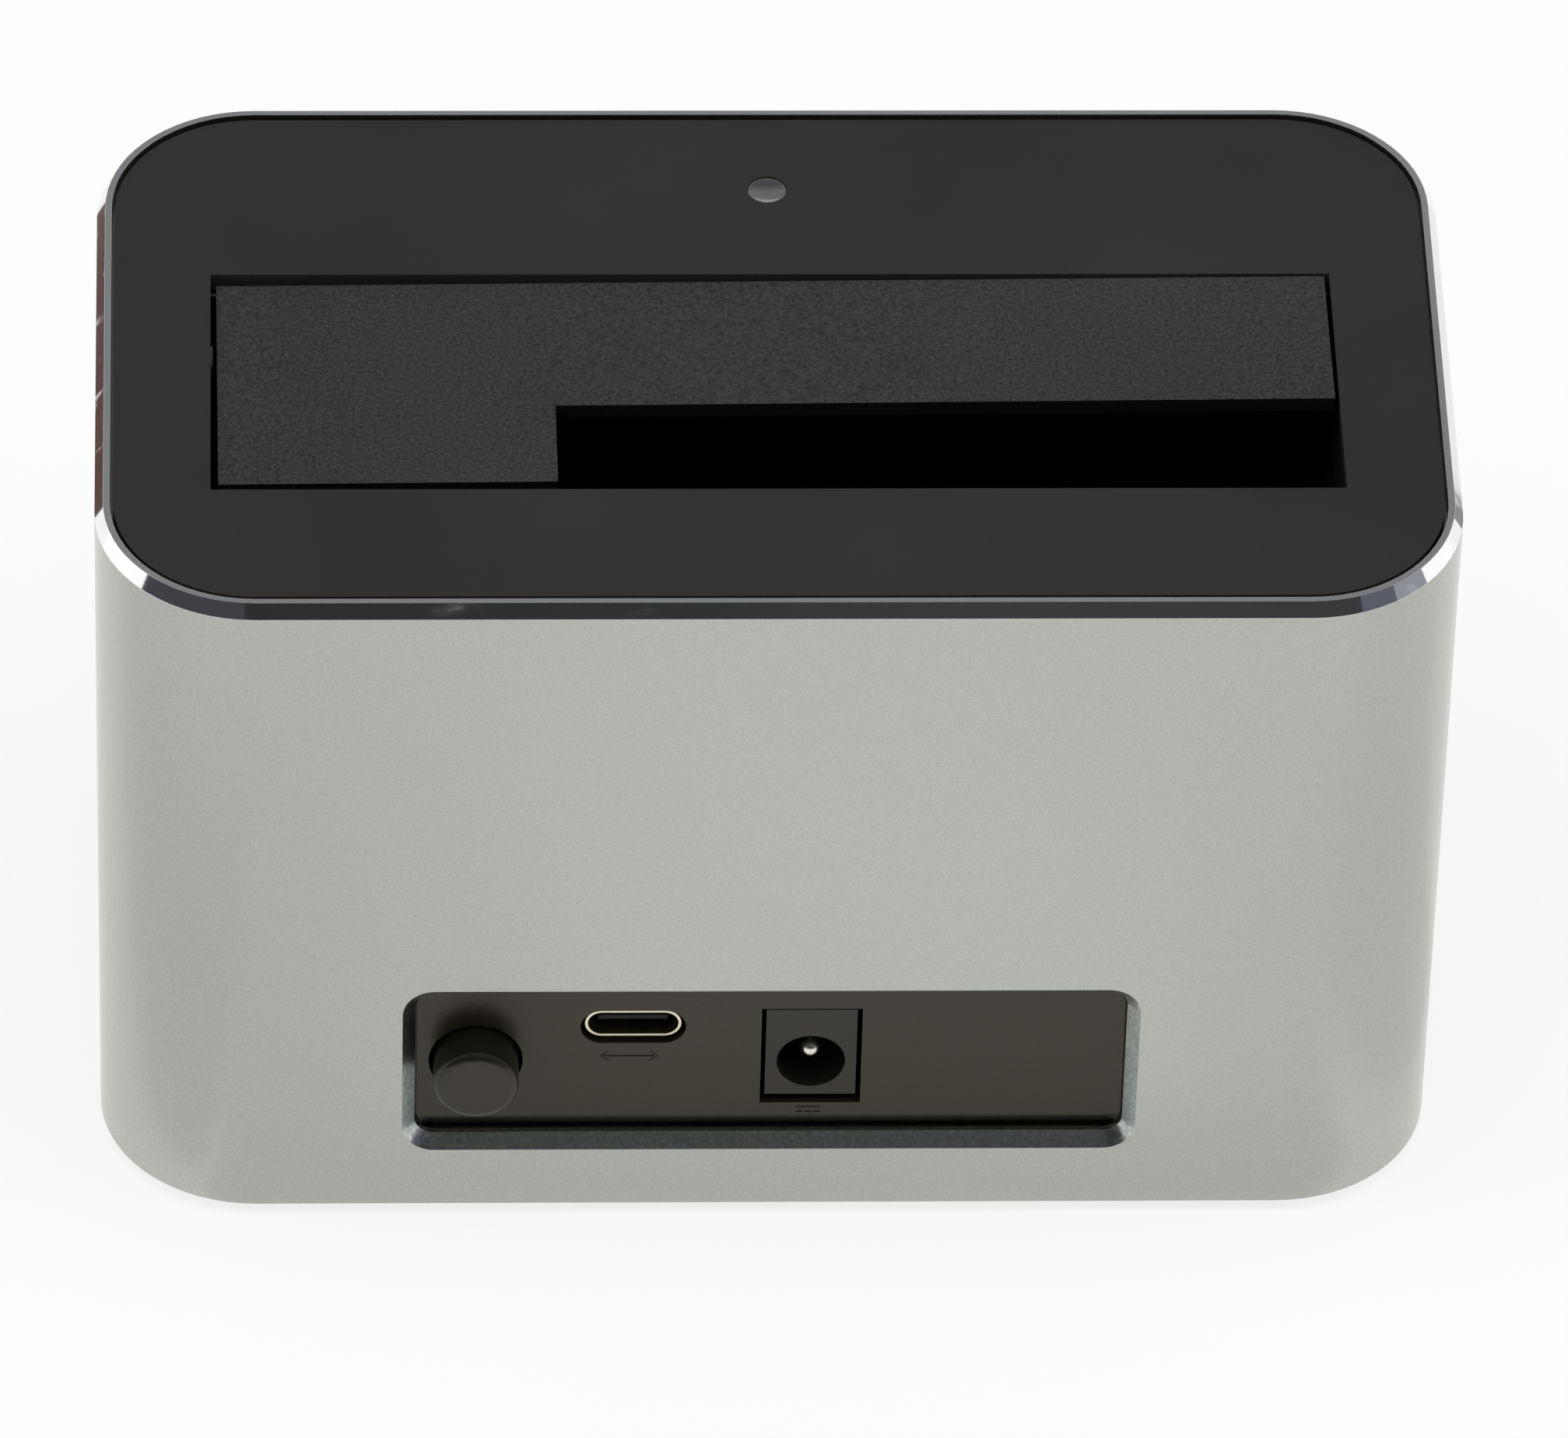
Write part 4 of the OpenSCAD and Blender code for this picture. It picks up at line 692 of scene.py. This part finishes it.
def latheMesh(name, profile, centre, steps, sharpOver):
    work = bmesh.new()
    rings = []
    for radius, height in profile:
        if radius < tiny:
            rings.append([work.verts.new((centre[0], centre[1], height))])
            continue
        ring = []
        for k in range(steps):
            turn = 2 * math.pi * k / steps
            spot = (centre[0] + radius * math.cos(turn), centre[1] + radius * math.sin(turn), height)
            ring.append(work.verts.new(spot))
        rings.append(ring)
    for lower, upper in zip(rings, rings[1:]):
        for k in range(steps):
            a, b = lower[k % len(lower)], lower[(k + 1) % len(lower)]
            c, d = upper[(k + 1) % len(upper)], upper[k % len(upper)]
            corners = list(dict.fromkeys((a, b, c, d)))
            if len(corners) > 2:
                work.faces.new(corners)
    bmesh.ops.recalc_face_normals(work, faces=work.faces)
    for face in work.faces:
        face.smooth = True
    for edge in work.edges:
        edge.smooth = edge.calc_face_angle(0.0) < math.radians(sharpOver)
    mesh = bpy.data.meshes.new(name)
    work.to_mesh(mesh)
    work.free()
    return mesh


def buildLens(spec):
    low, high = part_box("light_pipe")
    radius, wide = spec["radius"] * mm, spec["flangeRadius"] * mm
    top, flange = high.z + spec["proud"] * mm, spec["flangeTop"] * mm
    under = flange - spec["flangeDeep"] * mm
    bowl, lip = radius - spec["rim"] * mm, spec["lip"] * mm
    profile = [(0, low.z), (radius, low.z), (radius, under), (wide, under), (wide, flange), (radius, flange),
               (radius, top - lip), (radius - lip, top), (bowl, top)]
    for k in range(1, spec["rings"] + 1):
        share = 1 - k / spec["rings"]
        profile.append((bowl * share, top - spec["dish"] * mm * (1 - share ** 2)))
    middle = Vector(((low.x + high.x) / 2, (low.y + high.y) / 2))
    mesh = latheMesh("statusLens", profile, middle, spec["steps"], spec["sharpOver"])
    mesh.materials.append(finishes["lens_plastic"])
    mesh.materials.append(finishes["lensRimPaintedHighlight"])
    for face in mesh.polygons:
        # faces of the rim get the painted highlight
        atEdge = (face.center.xy - middle).length > bowl - lip
        atTop = face.center.z > top - spec["rimDeep"] * mm
        face.material_index = 1 if atEdge and atTop else 0
    piece = bpy.data.objects.new("statusLens", mesh)
    scene.collection.objects.link(piece)
    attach(piece, "housing")
    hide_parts("light_pipe")


buildLens(lens)

# other plain pieces: bevel widths in mm, and those whose edges show most get more steps
easings = {
    "top_cover": 0.10, "button_cap": 0.18, "data_shell": 0.10, "data_tongue": 0.2, "dc_jack_housing": 0.10,
    "base_plate": 0.25, "rubber_feet": 0.3, "drive_bay": 0.2, "dock_housing": 0.12,
}
# the tongue gets the darker look, painted shade
specialLooks = {"data_tongue": ["tonguePlasticPaintedShade"]}
roundest = ("data_tongue", "button_cap")
for nodeName, easing in easings.items():
    segments = 3 if nodeName in roundest else 2
    softenNode(nodeName, easing, segments, looksUsed=specialLooks.get(nodeName))


# flap: grained on top, smooth on its cut edges, which are painted darker as shade
flap = {"easing": 0.14, "topFacing": 0.6, "looks": ["flap_plastic", "flapEdgePaintedShade"]}


def flapLook(face):
    return "flap_plastic" if face.normal.z > flap["topFacing"] else "flapEdgePaintedShade"


softenNode("flap_door", flap["easing"], looksUsed=flap["looks"], pickLook=flapLook)
print("edges eased:", len(softened), "pieces")


# repeated small pieces grow from trees: rows of contacts, sprung wires and screws
def startTree(name, sizes):
    tree = bpy.data.node_groups.new(name, "GeometryNodeTree")
    tree.is_modifier = True
    tree.interface.new_socket("Points", in_out="INPUT", socket_type="NodeSocketGeometry")
    for label, value in sizes.items():
        kind = "NodeSocketInt" if isinstance(value, int) else "NodeSocketFloat"
        tree.interface.new_socket(label, in_out="INPUT", socket_type=kind).default_value = value
    tree.interface.new_socket("Finish", in_out="INPUT", socket_type="NodeSocketMaterial")
    tree.interface.new_socket("Piece", in_out="OUTPUT", socket_type="NodeSocketGeometry")
    return tree, tree.nodes.new("NodeGroupInput").outputs


def addNode(tree, kind, feeds=None, **settings):
    node = tree.nodes.new(kind)
    for key, value in settings.items():
        setattr(node, key, value)
    for key, value in (feeds or {}).items():
        if isinstance(value, bpy.types.NodeSocket):
            tree.links.new(value, node.inputs[key])
        else:
            node.inputs[key].default_value = value
    return node


def upright(tree, **parts):   # a vector from the named parts
    return addNode(tree, "ShaderNodeCombineXYZ", parts).outputs[0]


def endTree(tree, inputs, geometry):
    solid = addNode(tree, "GeometryNodeRealizeInstances", {"Geometry": geometry})
    dressed = addNode(tree, "GeometryNodeSetMaterial",
                      {"Geometry": solid.outputs[0], "Material": inputs["Finish"]})
    out = tree.nodes.new("NodeGroupOutput")
    tree.links.new(dressed.outputs[0], out.inputs[0])
    return tree


def makeContactTree():
    sizes = {"Width": 0.0007, "Thickness": 0.0002, "Length": 0.005, "Bow": 0.0001, "Lean": 0.0}
    bladeSteps, edgeShare = 9, 0.3
    tree, inputs = startTree("contactRow", sizes)
    tip = upright(tree, Z=inputs["Length"])
    path = addNode(tree, "GeometryNodeCurvePrimitiveLine", {"End": tip})
    steps = addNode(tree, "GeometryNodeResampleCurve", {"Curve": path.outputs[0], "Count": bladeSteps})
    along = addNode(tree, "GeometryNodeSplineParameter").outputs["Factor"]
    swing = calc(tree, "SINE", calc(tree, "MULTIPLY", along, math.pi))
    aside = upright(tree, Y=calc(tree, "MULTIPLY", swing, inputs["Bow"]))
    bowed = addNode(tree, "GeometryNodeSetPosition", {"Geometry": steps.outputs[0], "Offset": aside})
    section = addNode(tree, "GeometryNodeCurvePrimitiveQuadrilateral",
                      {"Width": inputs["Width"], "Height": inputs["Thickness"]})
    edge = calc(tree, "MULTIPLY", inputs["Thickness"], edgeShare)
    eased = addNode(tree, "GeometryNodeFilletCurve", {"Curve": section.outputs[0], "Radius": edge})
    blade = addNode(tree, "GeometryNodeCurveToMesh",
                    {"Curve": bowed.outputs[0], "Profile Curve": eased.outputs[0], "Fill Caps": True})
    row = addNode(tree, "GeometryNodeInstanceOnPoints",
                  {"Points": inputs["Points"], "Instance": blade.outputs[0],
                   "Rotation": upright(tree, X=inputs["Lean"])})
    return endTree(tree, inputs, row.outputs[0])


def makeWireTree():
    tree, inputs = startTree("sprungWire", {"Radius": 0.0002, "Sides": 12})
    path = addNode(tree, "GeometryNodeMeshToCurve", {"Mesh": inputs["Points"]})
    section = addNode(tree, "GeometryNodeCurvePrimitiveCircle",
                      {"Resolution": inputs["Sides"], "Radius": inputs["Radius"]})
    wire = addNode(tree, "GeometryNodeCurveToMesh",
                   {"Curve": path.outputs[0], "Profile Curve": section.outputs["Curve"], "Fill Caps": True})
    return endTree(tree, inputs, wire.outputs[0])


screwForm = {
    "core": 0.84, "ridgeAt": 0.86, "ridge": 0.13, "pitch": 0.36,   # shares of the shank's width
    "tip": 0.1, "thread": 0.84, "threadGap": 0.05,                 # shares of the shank's length
    "tipTaper": 0.6,                                               # share of the core's width
    "shoulder": 0.02,                                              # mm
    "sides": 36, "turnSteps": 18, "ridgeSides": 4,
}


def makeScrewTree():
    sizes = {"Face": 0.0043, "Rim": 0.0054, "Neck": 0.0054, "Shank": 0.0029, "Rim height": 0.0005,
             "Head height": 0.0016, "Length": 0.0098, "Cross": 0.0032, "Cross width": 0.0007,
             "Cross depth": 0.0007, "Turn seed": 5}
    tree, inputs = startTree("screwSet", sizes)

    def half(label, share=1.0):
        return calc(tree, "MULTIPLY", inputs[label], 0.5 * share)

    def step(geometry, selection, height, ratio):   # pushes the end face on, then widens or narrows it
        pushed = addNode(tree, "GeometryNodeExtrudeMesh",
                         {"Mesh": geometry, "Selection": selection, "Offset Scale": height,
                          "Individual": False})
        top = pushed.outputs["Top"]
        sized = addNode(tree, "GeometryNodeScaleElements",
                        {"Geometry": pushed.outputs["Mesh"], "Selection": top, "Scale": ratio})
        return sized.outputs[0], top

    cone = addNode(tree, "GeometryNodeMeshCone",
                   {"Vertices": screwForm["sides"], "Radius Top": half("Rim"), "Radius Bottom": half("Face"),
                    "Depth": inputs["Rim height"]})
    rest = calc(tree, "SUBTRACT", inputs["Head height"], inputs["Rim height"])
    body, end = step(cone.outputs["Mesh"], cone.outputs["Top"], rest,
                     calc(tree, "DIVIDE", inputs["Neck"], inputs["Rim"]))
    core = calc(tree, "MULTIPLY", inputs["Shank"], screwForm["core"])
    shoulder = screwForm["shoulder"] * mm
    tipLength = calc(tree, "MULTIPLY", inputs["Length"], screwForm["tip"])
    shaftLength = calc(tree, "MULTIPLY", inputs["Length"], 1 - screwForm["tip"])
    body, end = step(body, end, shoulder, calc(tree, "DIVIDE", core, inputs["Neck"]))
    body, end = step(body, end, shaftLength, 1.0)
    body, end = step(body, end, calc(tree, "SUBTRACT", tipLength, shoulder), screwForm["tipTaper"])
    barSize = upright(tree, X=inputs["Cross"], Y=inputs["Cross width"],
                      Z=calc(tree, "MULTIPLY", inputs["Cross depth"], 2.0))
    bar = addNode(tree, "GeometryNodeMeshCube", {"Size": barSize})
    otherBar = addNode(tree, "GeometryNodeTransform",
                       {"Geometry": bar.outputs[0], "Rotation": (0, 0, math.pi / 2)})
    cut = addNode(tree, "GeometryNodeMeshBoolean", {0: body}, operation="DIFFERENCE", solver="EXACT")
    tree.links.new(bar.outputs[0], cut.inputs[1])
    tree.links.new(otherBar.outputs[0], cut.inputs[1])
    threadLength = calc(tree, "MULTIPLY", inputs["Length"], screwForm["thread"])
    pitch = calc(tree, "MULTIPLY", inputs["Shank"], screwForm["pitch"])
    turns = calc(tree, "DIVIDE", threadLength, pitch)
    ridgeAt = half("Shank", screwForm["ridgeAt"])
    spiral = addNode(tree, "GeometryNodeCurveSpiral",
                     {"Resolution": screwForm["turnSteps"], "Rotations": turns, "Start Radius": ridgeAt,
                      "End Radius": ridgeAt, "Height": threadLength})
    ridge = addNode(tree, "GeometryNodeCurvePrimitiveCircle",
                    {"Resolution": screwForm["ridgeSides"], "Radius": half("Shank", screwForm["ridge"])})
    thread = addNode(tree, "GeometryNodeCurveToMesh",
                     {"Curve": spiral.outputs[0], "Profile Curve": ridge.outputs["Curve"],
                      "Fill Caps": True})
    threadGap = calc(tree, "MULTIPLY", inputs["Length"], screwForm["threadGap"])
    start = upright(tree, Z=calc(tree, "ADD", inputs["Head height"], threadGap))
    placed = addNode(tree, "GeometryNodeTransform", {"Geometry": thread.outputs[0], "Translation": start})
    screw = tree.nodes.new("GeometryNodeJoinGeometry")
    tree.links.new(cut.outputs[0], screw.inputs[0])
    tree.links.new(placed.outputs[0], screw.inputs[0])
    chance = addNode(tree, "FunctionNodeRandomValue", {"Seed": inputs["Turn seed"]}, data_type="FLOAT")
    turned = upright(tree, Z=calc(tree, "MULTIPLY", chance.outputs[1], math.pi))
    spots = addNode(tree, "GeometryNodeInstanceOnPoints",
                    {"Points": inputs["Points"], "Instance": screw.outputs[0], "Rotation": turned})
    return endTree(tree, inputs, spots.outputs[0])


def islandBoxes(nodeName):   # lowest and highest corner of each loose solid in a node
    work = bmesh.new()
    work.from_mesh(nodes[nodeName].data)
    bmesh.ops.remove_doubles(work, verts=work.verts, dist=softening["weld"])
    waiting = set(work.verts)
    boxes = []
    while waiting:
        stack = [waiting.pop()]
        island = list(stack)
        while stack:
            vert = stack.pop()
            for edge in vert.link_edges:
                other = edge.other_vert(vert)
                if other in waiting:
                    waiting.remove(other)
                    stack.append(other)
                    island.append(other)
        low = Vector([min(v.co[i] for v in island) for i in range(3)])
        high = Vector([max(v.co[i] for v in island) for i in range(3)])
        boxes.append((low, high))
    work.free()
    return sorted(boxes, key=lambda box: tuple(round(c, 6) for c in box[0]))


grown = {"sharpOver": 35.0, "pieces": []}   # degrees


def growPiece(name, tree, points, settings, nodeName, linked=False, rides=True):
    mesh = bpy.data.meshes.new(name + "Points")
    chain = [(k, k + 1) for k in range(len(points) - 1)] if linked else []
    mesh.from_pydata(points, chain, [])
    piece = bpy.data.objects.new(name, mesh)
    scene.collection.objects.link(piece)
    grow = piece.modifiers.new("grow", "NODES")
    grow.node_group = tree
    wanted = {**settings, "Finish": finishes[slotOf[nodeName]]}
    for item in tree.interface.items_tree:
        if item.in_out == "INPUT" and item.name in wanted:
            grow[item.identifier] = wanted[item.name]
    graph = bpy.context.evaluated_depsgraph_get()
    finished = bpy.data.meshes.new_from_object(piece.evaluated_get(graph))
    piece.modifiers.clear()
    piece.data = finished
    bpy.data.meshes.remove(mesh)
    finished.name = name
    finished.shade_smooth()
    finished.set_sharp_from_angle(angle=math.radians(grown["sharpOver"]))
    if rides:
        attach(piece, nodes[nodeName]["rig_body"])
    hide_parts(nodeName)
    grown["pieces"].append(piece)
    return piece


contactTree, wireTree, screwTree = makeContactTree(), makeWireTree(), makeScrewTree()

# contacts: bowed blades in the drive's receptacle, flat strips set back on the data tongue
dockBlade = {"thickness": 0.2, "bow": 0.1}
dataStrip = {"setBack": 0.6}
dockBoxes, dataBoxes = islandBoxes("dock_contacts"), islandBoxes("data_contacts")
dockPoints = [((low.x + high.x) / 2, low.y + dockBlade["thickness"] / 2 * mm, low.z)
              for low, high in dockBoxes]
dockSize = dockBoxes[0][1] - dockBoxes[0][0]
growPiece("dockBlades", contactTree, dockPoints, {
    "Width": dockSize.x, "Thickness": dockBlade["thickness"] * mm, "Length": dockSize.z,
    "Bow": dockBlade["bow"] * mm, "Lean": 0.0,
}, "dock_contacts")
dataSize = dataBoxes[0][1] - dataBoxes[0][0]
dataPoints = [((low.x + high.x) / 2, high.y - dataStrip["setBack"] * mm, (low.z + high.z) / 2)
              for low, high in dataBoxes]
growPiece("dataStrips", contactTree, dataPoints, {
    "Width": dataSize.x, "Thickness": dataSize.z, "Length": dataSize.y - dataStrip["setBack"] * mm,
    "Bow": 0.0, "Lean": math.pi / 2,
}, "data_contacts")

# springs: the flap's torsion spring with its two legs, and the switch's return spring
flapSpring = {"wire": 0.4, "radius": 1.2, "pitch": 0.9, "turns": 5.25, "flapLeg": 5.0, "bayLeg": 9.0}
switchSpring = {"wire": 0.3, "radius": 1.55, "turns": 6, "travel": 2.2}
stepsPerTurn, wireSides = 32, 12


def flapSpringPath(spec):
    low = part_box("flap_spring")[0]
    rodLow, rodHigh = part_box("hinge_rod")
    axis = (rodLow + rodHigh) / 2
    points = []
    for k in range(int(spec["turns"] * stepsPerTurn) + 1):
        turn = math.pi / 2 + 2 * math.pi * k / stepsPerTurn
        across = low.x + (spec["wire"] / 2 + spec["pitch"] * k / stepsPerTurn) * mm
        radius = spec["radius"] * mm
        points.append(Vector((across, axis.y + radius * math.cos(turn), axis.z + radius * math.sin(turn))))
    points.insert(0, points[0] + Vector((0, spec["flapLeg"] * mm, 0)))
    points.append(points[-1] - Vector((0, 0, spec["bayLeg"] * mm)))
    return points


def switchSpringPath(spec):
    low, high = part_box("switch_spring")
    middle = (low + high) / 2
    half, radius = spec["wire"] / 2 * mm, spec["radius"] * mm
    steps = spec["turns"] * stepsPerTurn
    points = []
    for k in range(steps + 1):
        turn = 2 * math.pi * k / stepsPerTurn
        along = low.y + half + (high.y - low.y - 2 * half) * k / steps
        across, up = radius * math.cos(turn), radius * math.sin(turn)
        points.append(Vector((middle.x + across, along, middle.z + up)))
    return points


flapPath = flapSpringPath(flapSpring)
flapWire = growPiece("flap_springWire", wireTree, flapPath,
                     {"Radius": flapSpring["wire"] / 2 * mm, "Sides": wireSides},
                     "flap_spring", linked=True, rides=False)
coilStart, coilEnd = flapPath[1].copy(), flapPath[-2].copy()
coilStart.x += flapSpring["wire"] * mm
coilEnd.x -= flapSpring["wire"] * mm
coilEnd.y, coilEnd.z = coilStart.y, coilStart.z
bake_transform(flapWire)   # its placing baked into the mesh; it rides with no body

switchWire = growPiece("switch_springWire", wireTree, switchSpringPath(switchSpring),
                       {"Radius": switchSpring["wire"] / 2 * mm, "Sides": wireSides},
                       "switch_spring", linked=True)
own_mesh(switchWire)   # given a mesh of its own

# screws: cross recess, threaded shank; each set turned at random by its own seed
panHead = {"Face": 4.3, "Rim": 5.4, "Neck": 5.4, "Shank": 2.9, "Rim height": 0.5, "Head height": 1.6,
           "Cross": 3.24, "Cross width": 0.7, "Cross depth": 0.7}
smallHead = {"Face": 2.7, "Rim": 3.4, "Neck": 3.4, "Shank": 1.9, "Rim height": 0.35, "Head height": 1.2,
             "Cross": 2.04, "Cross width": 0.7, "Cross depth": 0.7}
sunkHead = {"Face": 5.3, "Rim": 5.4, "Neck": 2.9, "Shank": 2.9, "Rim height": 0.08, "Head height": 1.6,
            "Cross": 3.24, "Cross width": 0.7, "Cross depth": 0.7}
screwSets = {"cover_screws": (panHead, 3), "board_screws": (panHead, 11), "base_screws": (sunkHead, 8),
             "light_screws": (smallHead, 2)}
for screwName, (screwSpec, screwSeed) in screwSets.items():
    screwBoxes = islandBoxes(screwName)
    screwPoints = [((low.x + high.x) / 2, (low.y + high.y) / 2, low.z) for low, high in screwBoxes]
    screwSizes = {label: value * mm for label, value in screwSpec.items()}
    firstLow, firstHigh = screwBoxes[0]
    screwSizes["Length"] = firstHigh.z - firstLow.z - screwSizes["Head height"]
    screwSizes["Turn seed"] = screwSeed
    growPiece(screwName + "Set", screwTree, screwPoints, screwSizes, screwName)
print("small pieces grown:", len(grown["pieces"]))

# signs moulded on the panel: a double arrow for data, a direct current sign for power
signs = {"stroke": 0.2, "height": 0.08, "sink": 0.15, "slope": 0.06, "straight": 0.3, "ends": 6}
dataSign = {"middle": (13.05, 18.85), "width": 5.2, "head": 0.62, "barb": 0.9}
powerSign = {"middle": (-3.65, 11.95), "width": 2.1, "apart": 0.6, "dash": 0.48}


def dataStrokes(spec):
    half, head = spec["width"] / 2, spec["head"]
    strokes = [(-half, 0, half, 0)]
    for side in (-1, 1):
        for way in (-1, 1):
            strokes.append((side * half, 0, side * (half - head), way * head * spec["barb"]))
    return strokes


def powerStrokes(spec):
    half, rise = spec["width"] / 2, spec["apart"] / 2
    strokes = [(-half, rise, half, rise)]
    for start in (-half, -spec["dash"] / 2, half - spec["dash"]):
        strokes.append((start, -rise, start + spec["dash"], -rise))
    return strokes


def addStroke(work, middle, stroke, spec, face):
    x0, z0, x1, z1 = stroke
    lean = math.atan2(z1 - z0, x1 - x0)
    rings = []
    levels = ((-spec["sink"], 0), (spec["height"] * spec["straight"], 0), (spec["height"], spec["slope"]))
    for depth, inset in levels:
        radius = spec["stroke"] / 2 - inset
        ring = []
        for px, pz, first in ((x1, z1, lean - math.pi / 2), (x0, z0, lean + math.pi / 2)):
            for k in range(spec["ends"] + 1):
                turn = first + math.pi * k / spec["ends"]
                spot = (middle[0] + px + radius * math.cos(turn), middle[1] + pz + radius * math.sin(turn))
                ring.append(work.verts.new((spot[0] * mm, face + depth * mm, spot[1] * mm)))
        rings.append(ring)
    count = len(rings[0])
    for lower, upper in zip(rings, rings[1:]):
        for k in range(count):
            work.faces.new((lower[k], lower[(k + 1) % count], upper[(k + 1) % count], upper[k]))
    work.faces.new(rings[0])
    work.faces.new(rings[-1])


def buildSign(name, middle, strokes):
    work = bmesh.new()
    for stroke in strokes:
        addStroke(work, middle, stroke, signs, panelHigh.y)
    bmesh.ops.recalc_face_normals(work, faces=work.faces)
    mesh = bpy.data.meshes.new(name)
    work.to_mesh(mesh)
    work.free()
    mesh.materials.append(finishes["panel_plastic"])
    piece = bpy.data.objects.new(name, mesh)
    scene.collection.objects.link(piece)
    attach(piece, "housing")


buildSign("dataSign", dataSign["middle"], dataStrokes(dataSign))
buildSign("powerSign", powerSign["middle"], powerStrokes(powerSign))
print("signs moulded")
